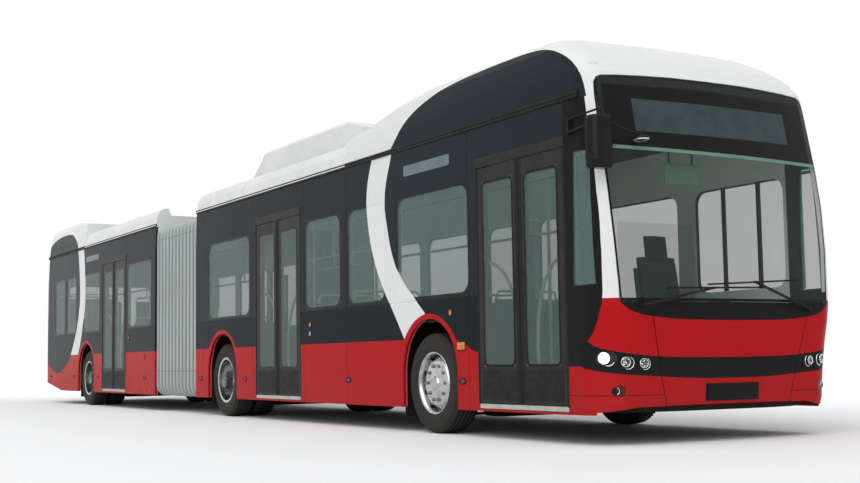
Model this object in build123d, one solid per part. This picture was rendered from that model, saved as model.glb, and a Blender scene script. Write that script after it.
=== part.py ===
"""Articulated low-floor city bus, one STEP file for each sub-part.

Frame: +X forward, +Y to the bus's left, +Z up, origin on the ground below the middle of the bus.
The front section carries the steered axle and the middle axle, the rear section trails behind a
turntable under the bellows. Lengths are in millimetres.
"""

import math
import os

from build123d import *

# ---- driving dimensions ------------------------------------------------------------------------
HALF_WIDTH = 1275.0
SKIRT_Z = 240.0
FLOOR_Z = 305.0
FLOOR_THICK = 50.0
BELT_Z = 1270.0
SILL_Z, HEAD_Z = 1315.0, 2320.0
LEAN_Z = 2300.0
EAVES_Z = 2800.0
EAVES_HALF = 1262.0
WALL = 45.0
GLASS = 8.0
DECK_Z = 2985.0
CEILING_Z = 2940.0
REAR_DECK_Z = 900.0
GEAR_Z, GEAR_H, GEAR_IN_Y = 2505.0, 200.0, 1090.0

FRONT_TAIL_X = -320.0
REAR_HEAD_X = -2150.0
PIVOT_X = (FRONT_TAIL_X + REAR_HEAD_X) / 2
MASK_X = 8490.0
REAR_END_X = -8700.0
FRONT_DOME_X = 4440.0
REAR_DOME_X = -6220.0

STEER_AXLE_X = 6240.0
MIDDLE_AXLE_X = 700.0
TRAIL_AXLE_X = -6070.0
TYRE_R = 479.0
RIM_R = 292.0
SINGLE_Y = 1102.5
TWIN_Y = 937.0
TWIN_HALF = 155.5
KINGPIN_Y = 930.0
WHEEL_Z = TYRE_R

DOOR_W = 1340.0
DOOR_TOP = 2420.0
DOOR_X = {"door1": 7150.0, "door2": 1900.0, "door3": -5030.0}

# Rows of a section's end cap: height, half width, reach along X, corner radius.
FRONT_ROWS = (
    (240, 1262, 8985, 310),
    (330, 1275, 9008, 320),
    (560, 1275, 9030, 320),
    (800, 1275, 9062, 310),
    (1000, 1275, 9090, 280),
    (1140, 1275, 9088, 240),
    (1600, 1275, 9070, 205),
    (2000, 1275, 9036, 200),
    (2300, 1275, 8988, 200),
    (2800, 1262, 8892, 200),
    (2950, 1256, 8862, 200),
    (3020, 1253, 8835, 205),
    (3100, 1243, 8767, 215),
    (3200, 1222, 8659, 225),
    (3290, 1196, 8512, 230),
    (3360, 1155, 8385, 230),
    (3410, 1060, 8290, 220),
    (3430, 900, 8190, 200),
)
REAR_ROWS = (
    (240, 1262, 9050, 150),
    (330, 1275, 9080, 160),
    (1270, 1275, 9090, 160),
    (2300, 1275, 9075, 160),
    (2800, 1262, 9050, 160),
    (3000, 1252, 9035, 170),
    (3150, 1235, 9010, 180),
    (3260, 1205, 8960, 190),
    (3340, 1150, 8880, 190),
    (3380, 1075, 8760, 190),
    (3400, 930, 8560, 180),
)
FRONT_BOW = 7.0
REAR_BOW = 5.0
# Top line of each dome, as reach along X and height, from its low end outwards.
FRONT_TOP = ((4440, 3090), (5000, 3165), (5500, 3268), (6000, 3340), (6600, 3399), (7200, 3440), (9400, 3440))
REAR_TOP = ((6220, 3262), (6920, 3347), (7900, 3405), (9300, 3405))

# Side windows: low X and high X of the clear opening, on the right and on the left.
RIGHT_FRONT_WINDOWS = ((5640, 6980), (4515, 5340), (3400, 4300), (200, 1655))
LEFT_FRONT_WINDOWS = ((7250, 8440), *RIGHT_FRONT_WINDOWS[:3], (1870, 3200), RIGHT_FRONT_WINDOWS[3])
RIGHT_REAR_WINDOWS = ((-3585, -2370), (-6260, -5240), (-7430, -6800), (-8295, -7620))
LEFT_REAR_WINDOWS = (RIGHT_REAR_WINDOWS[0], (-5030, -3750), *RIGHT_REAR_WINDOWS[1:])
WINDOW_R = 120.0
REBATE = 30.0

ARCH_R = 530.0
ARCH_Z = 570.0

# Underside of the tail, as X and height from the back of the bus forwards, and the floor above it.
TAIL_LIFT = ((-9300.0, 436.0), (-7785.0, SKIRT_Z))
TAIL_FLOOR = ((-8930.0, 395.0), (-7850.0, FLOOR_Z - FLOOR_THICK))


# ---- small helpers -----------------------------------------------------------------------------
def box(x0, x1, y0, y1, z0, z1):
    """Block between two corners."""
    return Pos((x0 + x1) / 2, (y0 + y1) / 2, (z0 + z1) / 2) * Box(x1 - x0, y1 - y0, z1 - z0)


def prism(axis, points, low, high):
    """Closed polygon in the plane across an axis, extruded along that axis from low to high."""
    place = {"x": lambda a, b: (low, a, b), "y": lambda a, b: (a, low, b), "z": lambda a, b: (a, b, low)}
    along = {"x": (1, 0, 0), "y": (0, 1, 0), "z": (0, 0, 1)}[axis]
    face = Face(Wire.make_polygon([Vector(*place[axis](a, b)) for a, b in points], close=True))
    return extrude(face, amount=high - low, dir=along)


def rod(axis, centre, radius, low, high):
    """Round bar along an axis, from low to high, through a point."""
    turn = {"x": Rot(0, 90, 0), "y": Rot(-90, 0, 0), "z": Rot(0, 0, 0)}[axis]
    middle = list(centre)
    middle["xyz".index(axis)] = (low + high) / 2
    return Pos(*middle) * turn * Cylinder(radius, high - low)


def window(axis, a0, a1, z0, z1, radius, low, high):
    """Upright rounded rectangle, a0 to a1 by z0 to z1, extruded along Y or X from low to high."""
    middle, height = (a0 + a1) / 2, (z0 + z1) / 2
    if axis == "y":
        plane = Plane(origin=(middle, low, height), x_dir=(1, 0, 0), z_dir=(0, 1, 0))
    else:
        plane = Plane(origin=(low, middle, height), x_dir=(0, 1, 0), z_dir=(1, 0, 0))
    return extrude(plane * RectangleRounded(a1 - a0, z1 - z0, radius), amount=high - low)


def below(line, thick=0.0):
    """Everything under a straight line of X and height, raised by thick, across the whole bus."""
    (x0, z0), (x1, z1) = line
    return prism("y", ((x0, 0), (x0, z0 + thick), (x1, z1 + thick), (x1, 0)), -1400, 1400)


def both_sides(shape):
    """A shape and its mirror image across the bus's middle plane."""
    return [shape, mirror(shape, about=Plane.XZ)]


def save(name, *shapes):
    """Write the solids of one node to its own STEP file."""
    solids = [solid for shape in shapes for solid in shape.solids()]
    export_step(Compound(children=solids) if len(solids) > 1 else solids[0], f"parts/{name}.step")


# ---- body envelope -----------------------------------------------------------------------------
def plan_wire(height, half, reach, radius, open_x, bow, sense):
    """Plan outline at one height: straight sides, round corners and a bowed end, all tangent."""
    bow = math.radians(bow)
    sweep = math.pi / 2 - bow
    corner_y = half - radius
    end_y = corner_y + radius * math.cos(sweep)
    end_x = reach - end_y * math.tan(bow / 2)
    start_x = end_x - radius * math.sin(sweep)
    mid_x = start_x + radius * math.sin(sweep / 2)
    mid_y = corner_y + radius * math.cos(sweep / 2)

    def at(x, y):
        return (sense * x, y, height)

    return Wire(
        [
            Line(at(open_x, -half), at(start_x, -half)),
            ThreePointArc(at(start_x, -half), at(mid_x, -mid_y), at(end_x, -end_y)),
            ThreePointArc(at(end_x, -end_y), at(reach, 0), at(end_x, end_y)),
            ThreePointArc(at(end_x, end_y), at(mid_x, mid_y), at(start_x, half)),
            Line(at(start_x, half), at(open_x, half)),
            Line(at(open_x, half), at(open_x, -half)),
        ]
    )


def end_cap(rows, top, bow, open_x, sense, inset):
    """Solid end of a section, drawn in by inset: stacked plan outlines cut by the roof's top line."""
    top_z = rows[-1][0]
    wires = []
    for height, half, reach, radius in rows:
        drop = inset * max(0.0, (height - EAVES_Z) / (top_z - EAVES_Z))
        wires.append(
            plan_wire(height - drop, half - inset, reach - inset, radius - inset, open_x + inset, bow, sense)
        )
    cap = Solid.make_loft(wires, ruled=True)
    line = [(sense * x, z - inset) for x, z in top]
    line += [(sense * top[-1][0], SKIRT_Z - 100), (sense * top[0][0], SKIRT_Z - 100)]
    return cap & prism("y", line, -HALF_WIDTH - 100, HALF_WIDTH + 100)


def front_cap(inset=0.0, open_x=FRONT_DOME_X):
    return end_cap(FRONT_ROWS, FRONT_TOP, FRONT_BOW, open_x, 1, inset)


def rear_cap(inset=0.0):
    return end_cap(REAR_ROWS, REAR_TOP, REAR_BOW, -REAR_DOME_X, -1, inset)


# ---- walls, roof, floor ------------------------------------------------------------------------
WALL_SECTION = (
    (HALF_WIDTH, SKIRT_Z),
    (HALF_WIDTH, BELT_Z - 8),
    (HALF_WIDTH - 6, BELT_Z),
    (HALF_WIDTH, BELT_Z + 8),
    (HALF_WIDTH, LEAN_Z),
    (EAVES_HALF, EAVES_Z),
    (EAVES_HALF - WALL, EAVES_Z),
    (HALF_WIDTH - WALL, LEAN_Z),
    (HALF_WIDTH - WALL, SKIRT_Z),
)


def arch(x, side):
    """Cutter for a wheel arch: half round on straight sides, open below."""
    low, high = sorted((side * (HALF_WIDTH + 20), side * (HALF_WIDTH - WALL - 20)))
    return rod("y", (x, 0, ARCH_Z), ARCH_R, low, high) + box(x - ARCH_R, x + ARCH_R, low, high, 100, ARCH_Z)


def side_wall(x0, x1, side, windows, arches, doors):
    """One side wall with its windows, rebates, arches and doorways cut and door gear boxes added."""
    wall = prism("x", [(side * y, z) for y, z in WALL_SECTION], x0, x1)
    outer, inner = side * (HALF_WIDTH + 20), side * (HALF_WIDTH - WALL - 20)
    low, high = sorted((outer, inner))
    rebate_low, rebate_high = sorted((outer, side * (HALF_WIDTH - GLASS - 4)))
    cutters = []
    for low_x, high_x in windows:
        cutters.append(window("y", low_x, high_x, SILL_Z, HEAD_Z, WINDOW_R, low, high))
        cutters.append(
            box(low_x - REBATE, high_x + REBATE, rebate_low, rebate_high, SILL_Z - REBATE, LEAN_Z + REBATE)
        )
    cutters += [arch(x, side) for x in arches]
    cutters += [box(x, x + DOOR_W, low, high, FLOOR_Z - FLOOR_THICK, DOOR_TOP) for x in doors]
    cutters.append(below(TAIL_LIFT))
    wall = wall - cutters
    gear_y = sorted((side * (HALF_WIDTH - WALL), side * GEAR_IN_Y))
    for x in doors:
        wall = wall + box(x, x + DOOR_W, *gear_y, GEAR_Z, GEAR_Z + GEAR_H)
    return [wall]



def side_glass(side, windows):
    """Bonded panes, each a little larger than its opening and seated in the rebate."""
    y0, y1 = sorted((side * (HALF_WIDTH - 4), side * (HALF_WIDTH - GLASS - 4)))
    return [
        box(low_x - REBATE, high_x + REBATE, y0, y1, SILL_Z - REBATE, LEAN_Z + REBATE)
        for low_x, high_x in windows
    ]


def roof_section():
    """Half of the roof's cross-section, from the eaves to the middle: drip rail, fairing and deck."""
    return (
        (EAVES_HALF - WALL, EAVES_Z),
        (EAVES_HALF + 10, EAVES_Z),
        (EAVES_HALF + 10, EAVES_Z + 50),
        (EAVES_HALF - 4, EAVES_Z + 58),
        (1240, 2960),
        (1200, 3045),
        (1130, 3090),
        (1060, 3090),
        (1020, DECK_Z),
    )


def roof(x0, x1):
    """Roof of one section between its domes and its open end."""
    half = roof_section()
    under = ((1030, CEILING_Z), (1150, CEILING_Z - 60))
    ring = [*half, *((-y, z) for y, z in reversed(half)), *((-y, z) for y, z in reversed(under)), *under]
    return prism("x", ring, x0, x1)


PORTAL_HALF, PORTAL_TOP = 1080.0, 2640.0


def portal_frame(x0, x1):
    """Frame round a section's open end, standing on the floor, that carries the bellows."""
    half = ((HALF_WIDTH - WALL, FLOOR_Z), (HALF_WIDTH - WALL, LEAN_Z), (EAVES_HALF - WALL, EAVES_Z),
            (1150, CEILING_Z - 60), (1030, CEILING_Z))
    ring = [*half, *((-y, z) for y, z in reversed(half))]
    return prism("x", ring, x0, x1) - box(x0 - 10, x1 + 10, -PORTAL_HALF, PORTAL_HALF, 0, PORTAL_TOP)


def wheel_box(x, half_length, inner_y, top):
    """Housing over a wheel, open below and towards the side wall, left side."""
    wall = 20.0
    outer = box(x - half_length - wall, x + half_length + wall, inner_y - wall, HALF_WIDTH - WALL,
                FLOOR_Z - FLOOR_THICK, top + wall)
    return outer - box(x - half_length, x + half_length, inner_y, HALF_WIDTH, 0, top)


def floor(outline, boxes):
    """Floor slab with wheel boxes standing in it."""
    low = FLOOR_Z - FLOOR_THICK
    slab = prism("z", outline, low, FLOOR_Z)
    for x, half_length, inner_y, top in boxes:
        for side in (1, -1):
            y0, y1 = sorted((side * inner_y, side * (HALF_WIDTH + 50)))
            slab = slab - box(x - half_length, x + half_length, y0, y1, low - 10, FLOOR_Z + 10)
    for spec in boxes:
        for housing in both_sides(wheel_box(*spec)):
            slab = slab + housing
    return slab


# Wheel boxes: axle X, half length, inner face Y, height inside.
STEER_BOX = (STEER_AXLE_X, 600.0, 565.0, 1060.0)
MIDDLE_BOX = (MIDDLE_AXLE_X, 550.0, 540.0, 1060.0)
TRAIL_BOX = (TRAIL_AXLE_X, 550.0, 540.0, 1060.0)


def front_floor():
    half = HALF_WIDTH - WALL
    outline = [(FRONT_TAIL_X, -half)]
    for name in ("door2", "door1"):
        x = DOOR_X[name]
        outline += [(x, -half), (x, -half - 38), (x + DOOR_W, -half - 38), (x + DOOR_W, -half)]
    nose = ((MASK_X - 5, half), (MASK_X - 5, 1205), (8700, 1080), (8840, 830), (8900, 450))
    outline += [(x, -y) for x, y in nose]
    outline += list(reversed(nose))
    outline += [(FRONT_TAIL_X, half)]
    return floor(outline, (STEER_BOX, MIDDLE_BOX))


DECK = (-8930.0, -6640.0, 1000.0, 40.0)


def rear_floor():
    """Low floor, the part that climbs over the lifted tail, and the raised deck on its riser and stiles."""
    half = HALF_WIDTH - WALL
    x = DOOR_X["door3"]
    lift_x = TAIL_FLOOR[1][0]
    outline = [(lift_x, -half), (x, -half), (x, -half - 38), (x + DOOR_W, -half - 38),
               (x + DOOR_W, -half), (REAR_HEAD_X, -half), (REAR_HEAD_X, half), (lift_x, half)]
    slab = floor(outline, (TRAIL_BOX,))
    half_tail = ((lift_x, half), (REAR_END_X + 5, half), (REAR_END_X + 5, 1205), (-8860, 1140), (-8930, 1000))
    plan = prism("z", [*half_tail, *((a, -b) for a, b in reversed(half_tail))], 0, REAR_DECK_Z)
    climb = (below(TAIL_FLOOR, FLOOR_THICK) - below(TAIL_FLOOR)) & plan
    end_x, head_x, deck_half, thick = DECK
    deck = box(end_x, head_x, -deck_half, deck_half, REAR_DECK_Z - thick, REAR_DECK_Z)
    riser = box(head_x - thick, head_x, -deck_half, deck_half, FLOOR_Z, REAR_DECK_Z)
    stile_low = TAIL_FLOOR[0][1] + FLOOR_THICK / 2
    stiles = [box(end_x, end_x + 50, y - 40, y + 40, stile_low, REAR_DECK_Z) for y in (-900, 900)]
    return slab + [climb, deck, riser, *stiles]


# ---- front end ---------------------------------------------------------------------------------
# Edge of the windscreen as half widths and heights, from its foot to the middle of its head.
SCREEN_EDGE = ((1130, 1132), (1157, 1600), (1172, 2000), (1175, 2400), (1168, 2800), (1158, 2920), (1135, 2962),
               (1090, 2984), (900, 2998), (450, 3014))
CORNER_GLASS = ((8605, 1275), (8872, 1275), (8850, 1800), (8818, 2355), (8640, 2355))
# Headlamps: offset Y from the middle, height, radius.
HEADLAMPS = ((890, 642, 50), (1042, 652, 54), (1180, 682, 58))
FOG_LAMPS = ((1092, 432, 46),)
# Lower edge of the bumper, as half widths and heights.
BUMPER_EDGE = ((1215, 262), (930, 300), (340, 308))


def lamp_cylinders():
    """Round bars along X where the front lamps sit, on both sides."""
    return [
        rod("x", (0, side * y, z), radius, 8600, 9200)
        for y, z, radius in HEADLAMPS + FOG_LAMPS
        for side in (1, -1)
    ]


def front_end():
    """Mask, dome, windscreen, corner glass and lamps, all cut from one envelope."""
    outer = front_cap()
    shell = outer - front_cap(WALL)
    low_part = box(MASK_X, 9300, -1400, 1400, 0, EAVES_Z)
    high_part = box(4000, 9300, -1400, 1400, EAVES_Z, 3600)
    screen_cut = prism("x", [*SCREEN_EDGE, *((-y, z) for y, z in reversed(SCREEN_EDGE))], 8200, 9300)
    side_cut = prism("y", CORNER_GLASS, -1400, 1400)
    cuts = screen_cut + side_cut
    glass_skin = outer - front_cap(GLASS)
    lamp_skin = outer - front_cap(30)
    lamps = [lamp_skin & bar for bar in lamp_cylinders()]
    mask = (shell & low_part) - cuts
    foot = ((BUMPER_EDGE[0][0], 100), *BUMPER_EDGE)
    mask = mask - prism("x", [*foot, *((-y, z) for y, z in reversed(foot))], 8700, 9300)
    mask = mask - lamps - wiper_spindles()
    ceiling = front_cap() & box(FRONT_DOME_X, 8450, -1400, 1400, CEILING_Z, CEILING_Z + 25)
    dome = (shell & high_part) + ceiling - screen_cut
    return mask, dome, glass_skin & screen_cut, glass_skin & side_cut & low_part, lamps


# ---- rear end ----------------------------------------------------------------------------------
LID = (-700.0, 700.0, 480.0, 1180.0)
REAR_SCREEN = (-820.0, 820.0, 1420.0, 2280.0, 90.0)
TAIL_LAMPS = ((1060, 800, 60), (1060, 960, 60), (1060, 1120, 60))
LID_GAP = 6.0
# Lid hinge: axis X and height, barrel radius, its middle Y and half length, and the pocket round it.
LID_HINGE = (-9088.0, 1174.0, 8.0, 300.0, 60.0)
LID_POCKET = 5.0


def lid_barrels(grow=0.0):
    """Hinge barrels on the lid's top edge, or the pockets round them when grown."""
    x, z, radius, middle, half = LID_HINGE
    return [
        rod("y", (x, 0, z), radius + grow, side * middle - half - grow, side * middle + half + grow)
        for side in (1, -1)
    ]


def rear_end():
    """Rear mask, dome, rear window, lid and lamps."""
    outer = rear_cap()
    shell = outer - rear_cap(WALL)
    low_part = box(-9300, REAR_END_X, -1400, 1400, 0, EAVES_Z)
    high_part = box(-9300, -5500, -1400, 1400, EAVES_Z, 3600)
    screen_cut = window("x", *REAR_SCREEN, -9300, -8900)
    y0, y1, z0, z1 = LID
    lid_cut = box(-9300, -8900, y0, y1, z0, z1)
    lid_block = box(-9300, -8900, y0 + LID_GAP, y1 - LID_GAP, z0 + LID_GAP, z1 - LID_GAP)
    lamps = [
        (outer - rear_cap(30)) & rod("x", (0, side * y, z), radius, -9200, -8900)
        for y, z, radius in TAIL_LAMPS
        for side in (1, -1)
    ]
    end = (shell & low_part) - screen_cut - lid_cut - below(TAIL_LIFT)
    end = end - lamps - lid_barrels(LID_POCKET)
    lid = (shell & lid_block) + lid_barrels()
    glass = (outer - rear_cap(GLASS)) & screen_cut
    ceiling = outer & box(REAR_END_X, REAR_DOME_X, -1400, 1400, CEILING_Z, CEILING_Z + 25)
    return end, (shell & high_part) + ceiling, glass, lid, lamps


# ---- doors -------------------------------------------------------------------------------------
LEAF_W = 656.0
LEAF_LOW, LEAF_HIGH = 312.0, 2412.0
LEAF_Y = (-1273.0, -1233.0)
COLUMN_Y = -1190.0
COLUMN_IN = 30.0
COLUMN_R = 16.0
PANE = (100.0, 562.0, 650.0, 2270.0, 50.0)


def door_leaf():
    """Leaf hinged at its low-X edge, drawn with that edge at X 0: frame, column and handrail."""
    y0, y1 = LEAF_Y
    a0, a1, z0, z1, radius = PANE
    leaf = box(0, LEAF_W, y0, y1, LEAF_LOW, LEAF_HIGH)
    leaf = leaf - window("y", a0, a1, z0, z1, radius, y0 - 5, y1 + 5)
    leaf = leaf - box(a0 - 20, a1 + 20, y0 - 5, y0 + GLASS, z0 - 20, z1 + 20)
    column = rod("z", (COLUMN_IN, COLUMN_Y, 0), COLUMN_R, FLOOR_Z + 1, GEAR_Z - 1)
    arms = [box(COLUMN_IN - 12, COLUMN_IN + 12, y1, COLUMN_Y, z, z + 40) for z in (480, 1400, 2300)]
    rail_x = LEAF_W - 42
    rail = box(rail_x - 14, rail_x + 14, y1 + 45, y1 + 73, 850, 1750)
    stays = [box(rail_x - 14, rail_x + 14, y1, y1 + 45, z, z + 28) for z in (850, 1722)]
    leaf = leaf + [column, *arms, rail, *stays]
    glass = box(a0 - 20, a1 + 20, y0, y0 + GLASS, z0 - 20, z1 + 20)
    return leaf, glass


def doors():
    """Both leaves of each doorway; the front leaf is the mirror image of the rear one."""
    leaf, glass = door_leaf()
    for name, x in DOOR_X.items():
        for part, shape in (("leaf", leaf), ("glass", glass)):
            save(f"{name}_{part}_a", Pos(x + 5, 0, 0) * shape)
            save(f"{name}_{part}_b", Pos(x + DOOR_W - 5, 0, 0) * mirror(shape, about=Plane.YZ))


# ---- wheels ------------------------------------------------------------------------------------
# Half profile of a tyre: offset from its middle, radius.
TYRE_PROFILE = ((115, RIM_R), (137, 375), (130, 440), (105, 470), (55, TYRE_R))
HAND_HOLES = 10
HAND_HOLE_PCD_R = 210.0
HAND_HOLE_R = 31.0
SPINDLE_R = 40.0
HUB_R = 55.0
BORE_GAP = 0.5


def turned(points, x, y):
    """Profile of offset and radius, revolved about a wheel's axis at X, Y and wheel height."""
    face = Face(Wire.make_polygon([Vector(radius, offset, 0) for offset, radius in points], close=True))
    return Pos(x, y, WHEEL_Z) * revolve(face, axis=Axis.Y)


def tyre(x, y):
    half = list(TYRE_PROFILE)
    return turned(half + [(-a, r) for a, r in reversed(half)], x, y)


SINGLE_RIM = (
    (-125, 298), (-115, RIM_R), (115, RIM_R), (125, 298), (120, 270), (55, 262), (72, 165), (72, 105),
    (112, 80), (112, SPINDLE_R + BORE_GAP), (-50, SPINDLE_R + BORE_GAP), (-50, 80), (50, 105), (50, 160),
    (32, 262), (-120, 270),
)
TWIN_RIM = (
    (280, 298), (270.5, RIM_R), (40.5, RIM_R), (31, 298), (14, 240), (-14, 240), (-31, 298), (-40.5, RIM_R),
    (-270.5, RIM_R), (-280, 298), (-275, 270), (-60, 262), (-16, 175), (-16, HUB_R + BORE_GAP),
    (130, HUB_R + BORE_GAP), (130, 105), (16, 120), (16, 175), (60, 262), (275, 270),
)


def hand_holes(x, low_y, high_y):
    """Ring of six-sided hand holes through a wheel disc."""
    holes = []
    for index in range(HAND_HOLES):
        angle = 2 * math.pi * (index + 0.5) / HAND_HOLES
        middle = (x + HAND_HOLE_PCD_R * math.cos(angle), WHEEL_Z + HAND_HOLE_PCD_R * math.sin(angle))
        ring = [
            (middle[0] + HAND_HOLE_R * math.cos(k * math.pi / 3), middle[1] + HAND_HOLE_R * math.sin(k * math.pi / 3))
            for k in range(6)
        ]
        holes.append(prism("y", ring, low_y, high_y))
    return holes


def wheels():
    single = turned(SINGLE_RIM, STEER_AXLE_X, SINGLE_Y) - hand_holes(STEER_AXLE_X, SINGLE_Y + 20, SINGLE_Y + 90)
    tyre_one = tyre(STEER_AXLE_X, SINGLE_Y)
    for name, rim, rubber in (("left", single, tyre_one),
                              ("right", mirror(single, about=Plane.XZ), mirror(tyre_one, about=Plane.XZ))):
        save(f"front_rim_{name}", rim)
        save(f"front_tyre_{name}", rubber)
    for axle, x in (("middle", MIDDLE_AXLE_X), ("rear", TRAIL_AXLE_X)):
        rim = turned(TWIN_RIM, x, TWIN_Y) - hand_holes(x, TWIN_Y - 60, TWIN_Y + 60)
        pair = [tyre(x, TWIN_Y + TWIN_HALF), tyre(x, TWIN_Y - TWIN_HALF)]
        save(f"{axle}_rim_left", rim)
        save(f"{axle}_tyres_left", *pair)
        save(f"{axle}_rim_right", mirror(rim, about=Plane.XZ))
        save(f"{axle}_tyres_right", *[mirror(one, about=Plane.XZ) for one in pair])


# ---- axles and steering ------------------------------------------------------------------------
LINK_LOW = 215.0
EYE_R = 45.0
PIN_R = 22.0
EYE_HALF = 49.0
JAW = (55.0, 91.0)
ARM_Z = (182.0, 212.0)
ARM_X = -220.0
LINK_Y = (430.0, 490.0)


def links(x):
    """Longitudinal links that hang an axle under the floor, both sides."""
    shape = box(x - 500, x + 500, *LINK_Y, LINK_LOW, FLOOR_Z - FLOOR_THICK)
    return both_sides(shape)


def front_axle():
    """Dropped beam with an eye for each kingpin."""
    x = STEER_AXLE_X
    low, high = WHEEL_Z - EYE_HALF, WHEEL_Z + EYE_HALF
    half = [(500, 135), (620, 150), (800, low), (KINGPIN_Y, low), (KINGPIN_Y, high), (780, high), (590, LINK_LOW)]
    ring = half + [(-y, z) for y, z in reversed(half)]
    beam = prism("x", ring, x - 40, x + 40)
    for side in (1, -1):
        centre = (x, side * KINGPIN_Y, 0)
        beam = beam + rod("z", centre, EYE_R, low, high)
        beam = beam - rod("z", centre, PIN_R + BORE_GAP, low - 10, high + 10)
    return beam + links(x)


def knuckle():
    """Left steering knuckle: forked jaws and pin about the eye, spindle, and arm to the tie rod."""
    x, y = STEER_AXLE_X, KINGPIN_Y
    centre = (x, y, 0)
    low, high = JAW
    fork = rod("z", centre, EYE_R, WHEEL_Z + low, WHEEL_Z + high)
    fork = fork + rod("z", centre, EYE_R, WHEEL_Z - high, WHEEL_Z - low)
    fork = fork + rod("z", centre, PIN_R, WHEEL_Z - high, WHEEL_Z + high)
    for z in (low, -high):
        fork = fork + box(x - 40, x + 40, y, y + 90, WHEEL_Z + z, WHEEL_Z + z + high - low)
    fork = fork + box(x - 40, x + 40, y + 60, y + 90, WHEEL_Z - high, WHEEL_Z + high)
    fork = fork + rod("y", (x, 0, WHEEL_Z), SPINDLE_R, y + 90, SINGLE_Y + 112)
    fork = fork + rod("z", centre, 24, ARM_Z[0], WHEEL_Z - high)
    return fork + box(x + ARM_X - 20, x, y - 15, y + 15, *ARM_Z)


def tie_rod():
    """Track rod between the two steering arms, in sockets just below them."""
    x = STEER_AXLE_X + ARM_X
    bar = rod("y", (x, 0, ARM_Z[0] - 20), 15, -KINGPIN_Y - 15, KINGPIN_Y + 15)
    for side in (1, -1):
        bar = bar + rod("z", (x, side * KINGPIN_Y, 0), 14, ARM_Z[0] - 20, ARM_Z[0] - 0.5)
    return bar


def portal_axle(x):
    """Low centre beam between portal boxes, with a spindle for each twin wheel."""
    half = [(0, 130), (545, 130), (545, 190), (625, 190), (625, 620), (550, 620), (550, LINK_LOW), (0, LINK_LOW)]
    ring = half + [(-y, z) for y, z in reversed(half)][1:-1]
    beam = prism("x", ring, x - 95, x + 95)
    for side in (1, -1):
        low, high = sorted((side * 625, side * (TWIN_Y + 130)))
        beam = beam + rod("y", (x, 0, WHEEL_Z), HUB_R, low, high)
    return beam + links(x)


# ---- turntable and bellows ---------------------------------------------------------------------
RING_R = 520.0
LOWER_Z = (235.0, 262.0)
UPPER_Z = (270.0, FLOOR_Z)
FOLDS = 16
BELLOWS = (1245.0, 215.0, 2800.0)
FOLD_DEPTH = 55.0


def turntable_lower():
    """Front half of the turntable: arms from the front section and the lower ring."""
    z0, z1 = LOWER_Z
    arms = box(PIVOT_X, FRONT_TAIL_X, -420, 420, z0, z1)
    foot = box(FRONT_TAIL_X - 60, FRONT_TAIL_X, -420, 420, z0, FLOOR_Z)
    ring = rod("z", (PIVOT_X, 0, 0), RING_R, z0, z1) - rod("z", (PIVOT_X, 0, 0), 150.5, z0 - 5, z1 + 5)
    return arms - rod("z", (PIVOT_X, 0, 0), RING_R - 10, z0 - 5, z1 + 5) + ring + foot


def turntable_upper():
    """Rear half of the turntable: round walkway plate, pivot spigot and arms to the rear section."""
    z0, z1 = UPPER_Z
    plate = rod("z", (PIVOT_X, 0, 0), RING_R, z0, z1)
    spigot = rod("z", (PIVOT_X, 0, 0), 150, LOWER_Z[0], z0)
    arms = box(REAR_HEAD_X, PIVOT_X, -420, 420, z0, z1)
    return plate + spigot + arms


def bellows_outline(x, shrink):
    """Section of the bellows at one X: a box with cut corners, drawn in by shrink."""
    half, low, high = BELLOWS[0] - shrink, BELLOWS[1] + 0.25 * shrink, BELLOWS[2] - shrink
    cut, rest = 60.0, 160.0
    corner = ((half - rest, low), (half - cut, low + cut / 2), (half, low + rest),
              (half, high - rest), (half - cut, high - cut), (half - rest, high))
    return Wire.make_polygon([Vector(x, y, z) for y, z in corner + tuple((-y, z) for y, z in reversed(corner))],
                             close=True)


def bellows():
    """Folded tube between the two sections, outer folds lofted and inside left smooth."""
    step = (FRONT_TAIL_X - REAR_HEAD_X) / (2 * FOLDS)
    wires = [
        bellows_outline(REAR_HEAD_X + index * step, FOLD_DEPTH if index % 2 else 0.0)
        for index in range(2 * FOLDS + 1)
    ]
    tube = Solid.make_loft(wires, ruled=True)
    inner = Solid.make_loft([bellows_outline(x, FOLD_DEPTH + 6) for x in (REAR_HEAD_X - 10, FRONT_TAIL_X + 10)],
                            ruled=True)
    return tube - inner


# ---- interior ----------------------------------------------------------------------------------
SEAT_PROFILE = ((0, 0), (330, 0), (330, 60), (230, 330), (450, 400), (450, 440), (40, 430), (-70, 1060),
                (-115, 1060), (-30, 380), (60, 330), (0, 60))
SEAT_W = 860.0
# Passenger seat pairs: X of the base, side, floor height under them.
FRONT_SEATS = ((4600, -1), (3700, -1), (5000, 1), (4200, 1), (3400, 1), (2600, 1), (1800, 1))
REAR_SEATS = ((-2750, 1), (-3550, 1), (-4350, 1), (-3300, -1))
DECK_SEATS = ((-7450, 1), (-8350, 1), (-7450, -1), (-8350, -1))
FRONT_POLES = ((3450, -1), (1700, -1), (5500, 1), (2400, 1), (7000, -1))
REAR_POLES = ((-3500, -1), (-5200, -1), (-4900, 1))


def seat_pair(x, side, base):
    """Double seat on one pedestal, facing forward."""
    y0, y1 = sorted((side * 1215, side * (1215 - SEAT_W)))
    return prism("y", [(x + a, base + z) for a, z in SEAT_PROFILE], y0, y1)


def pole(x, side, base):
    return rod("z", (x, side * 380, 0), 17, base, CEILING_Z)


DASH_Y = (-530.0, 1050.0)


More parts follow.
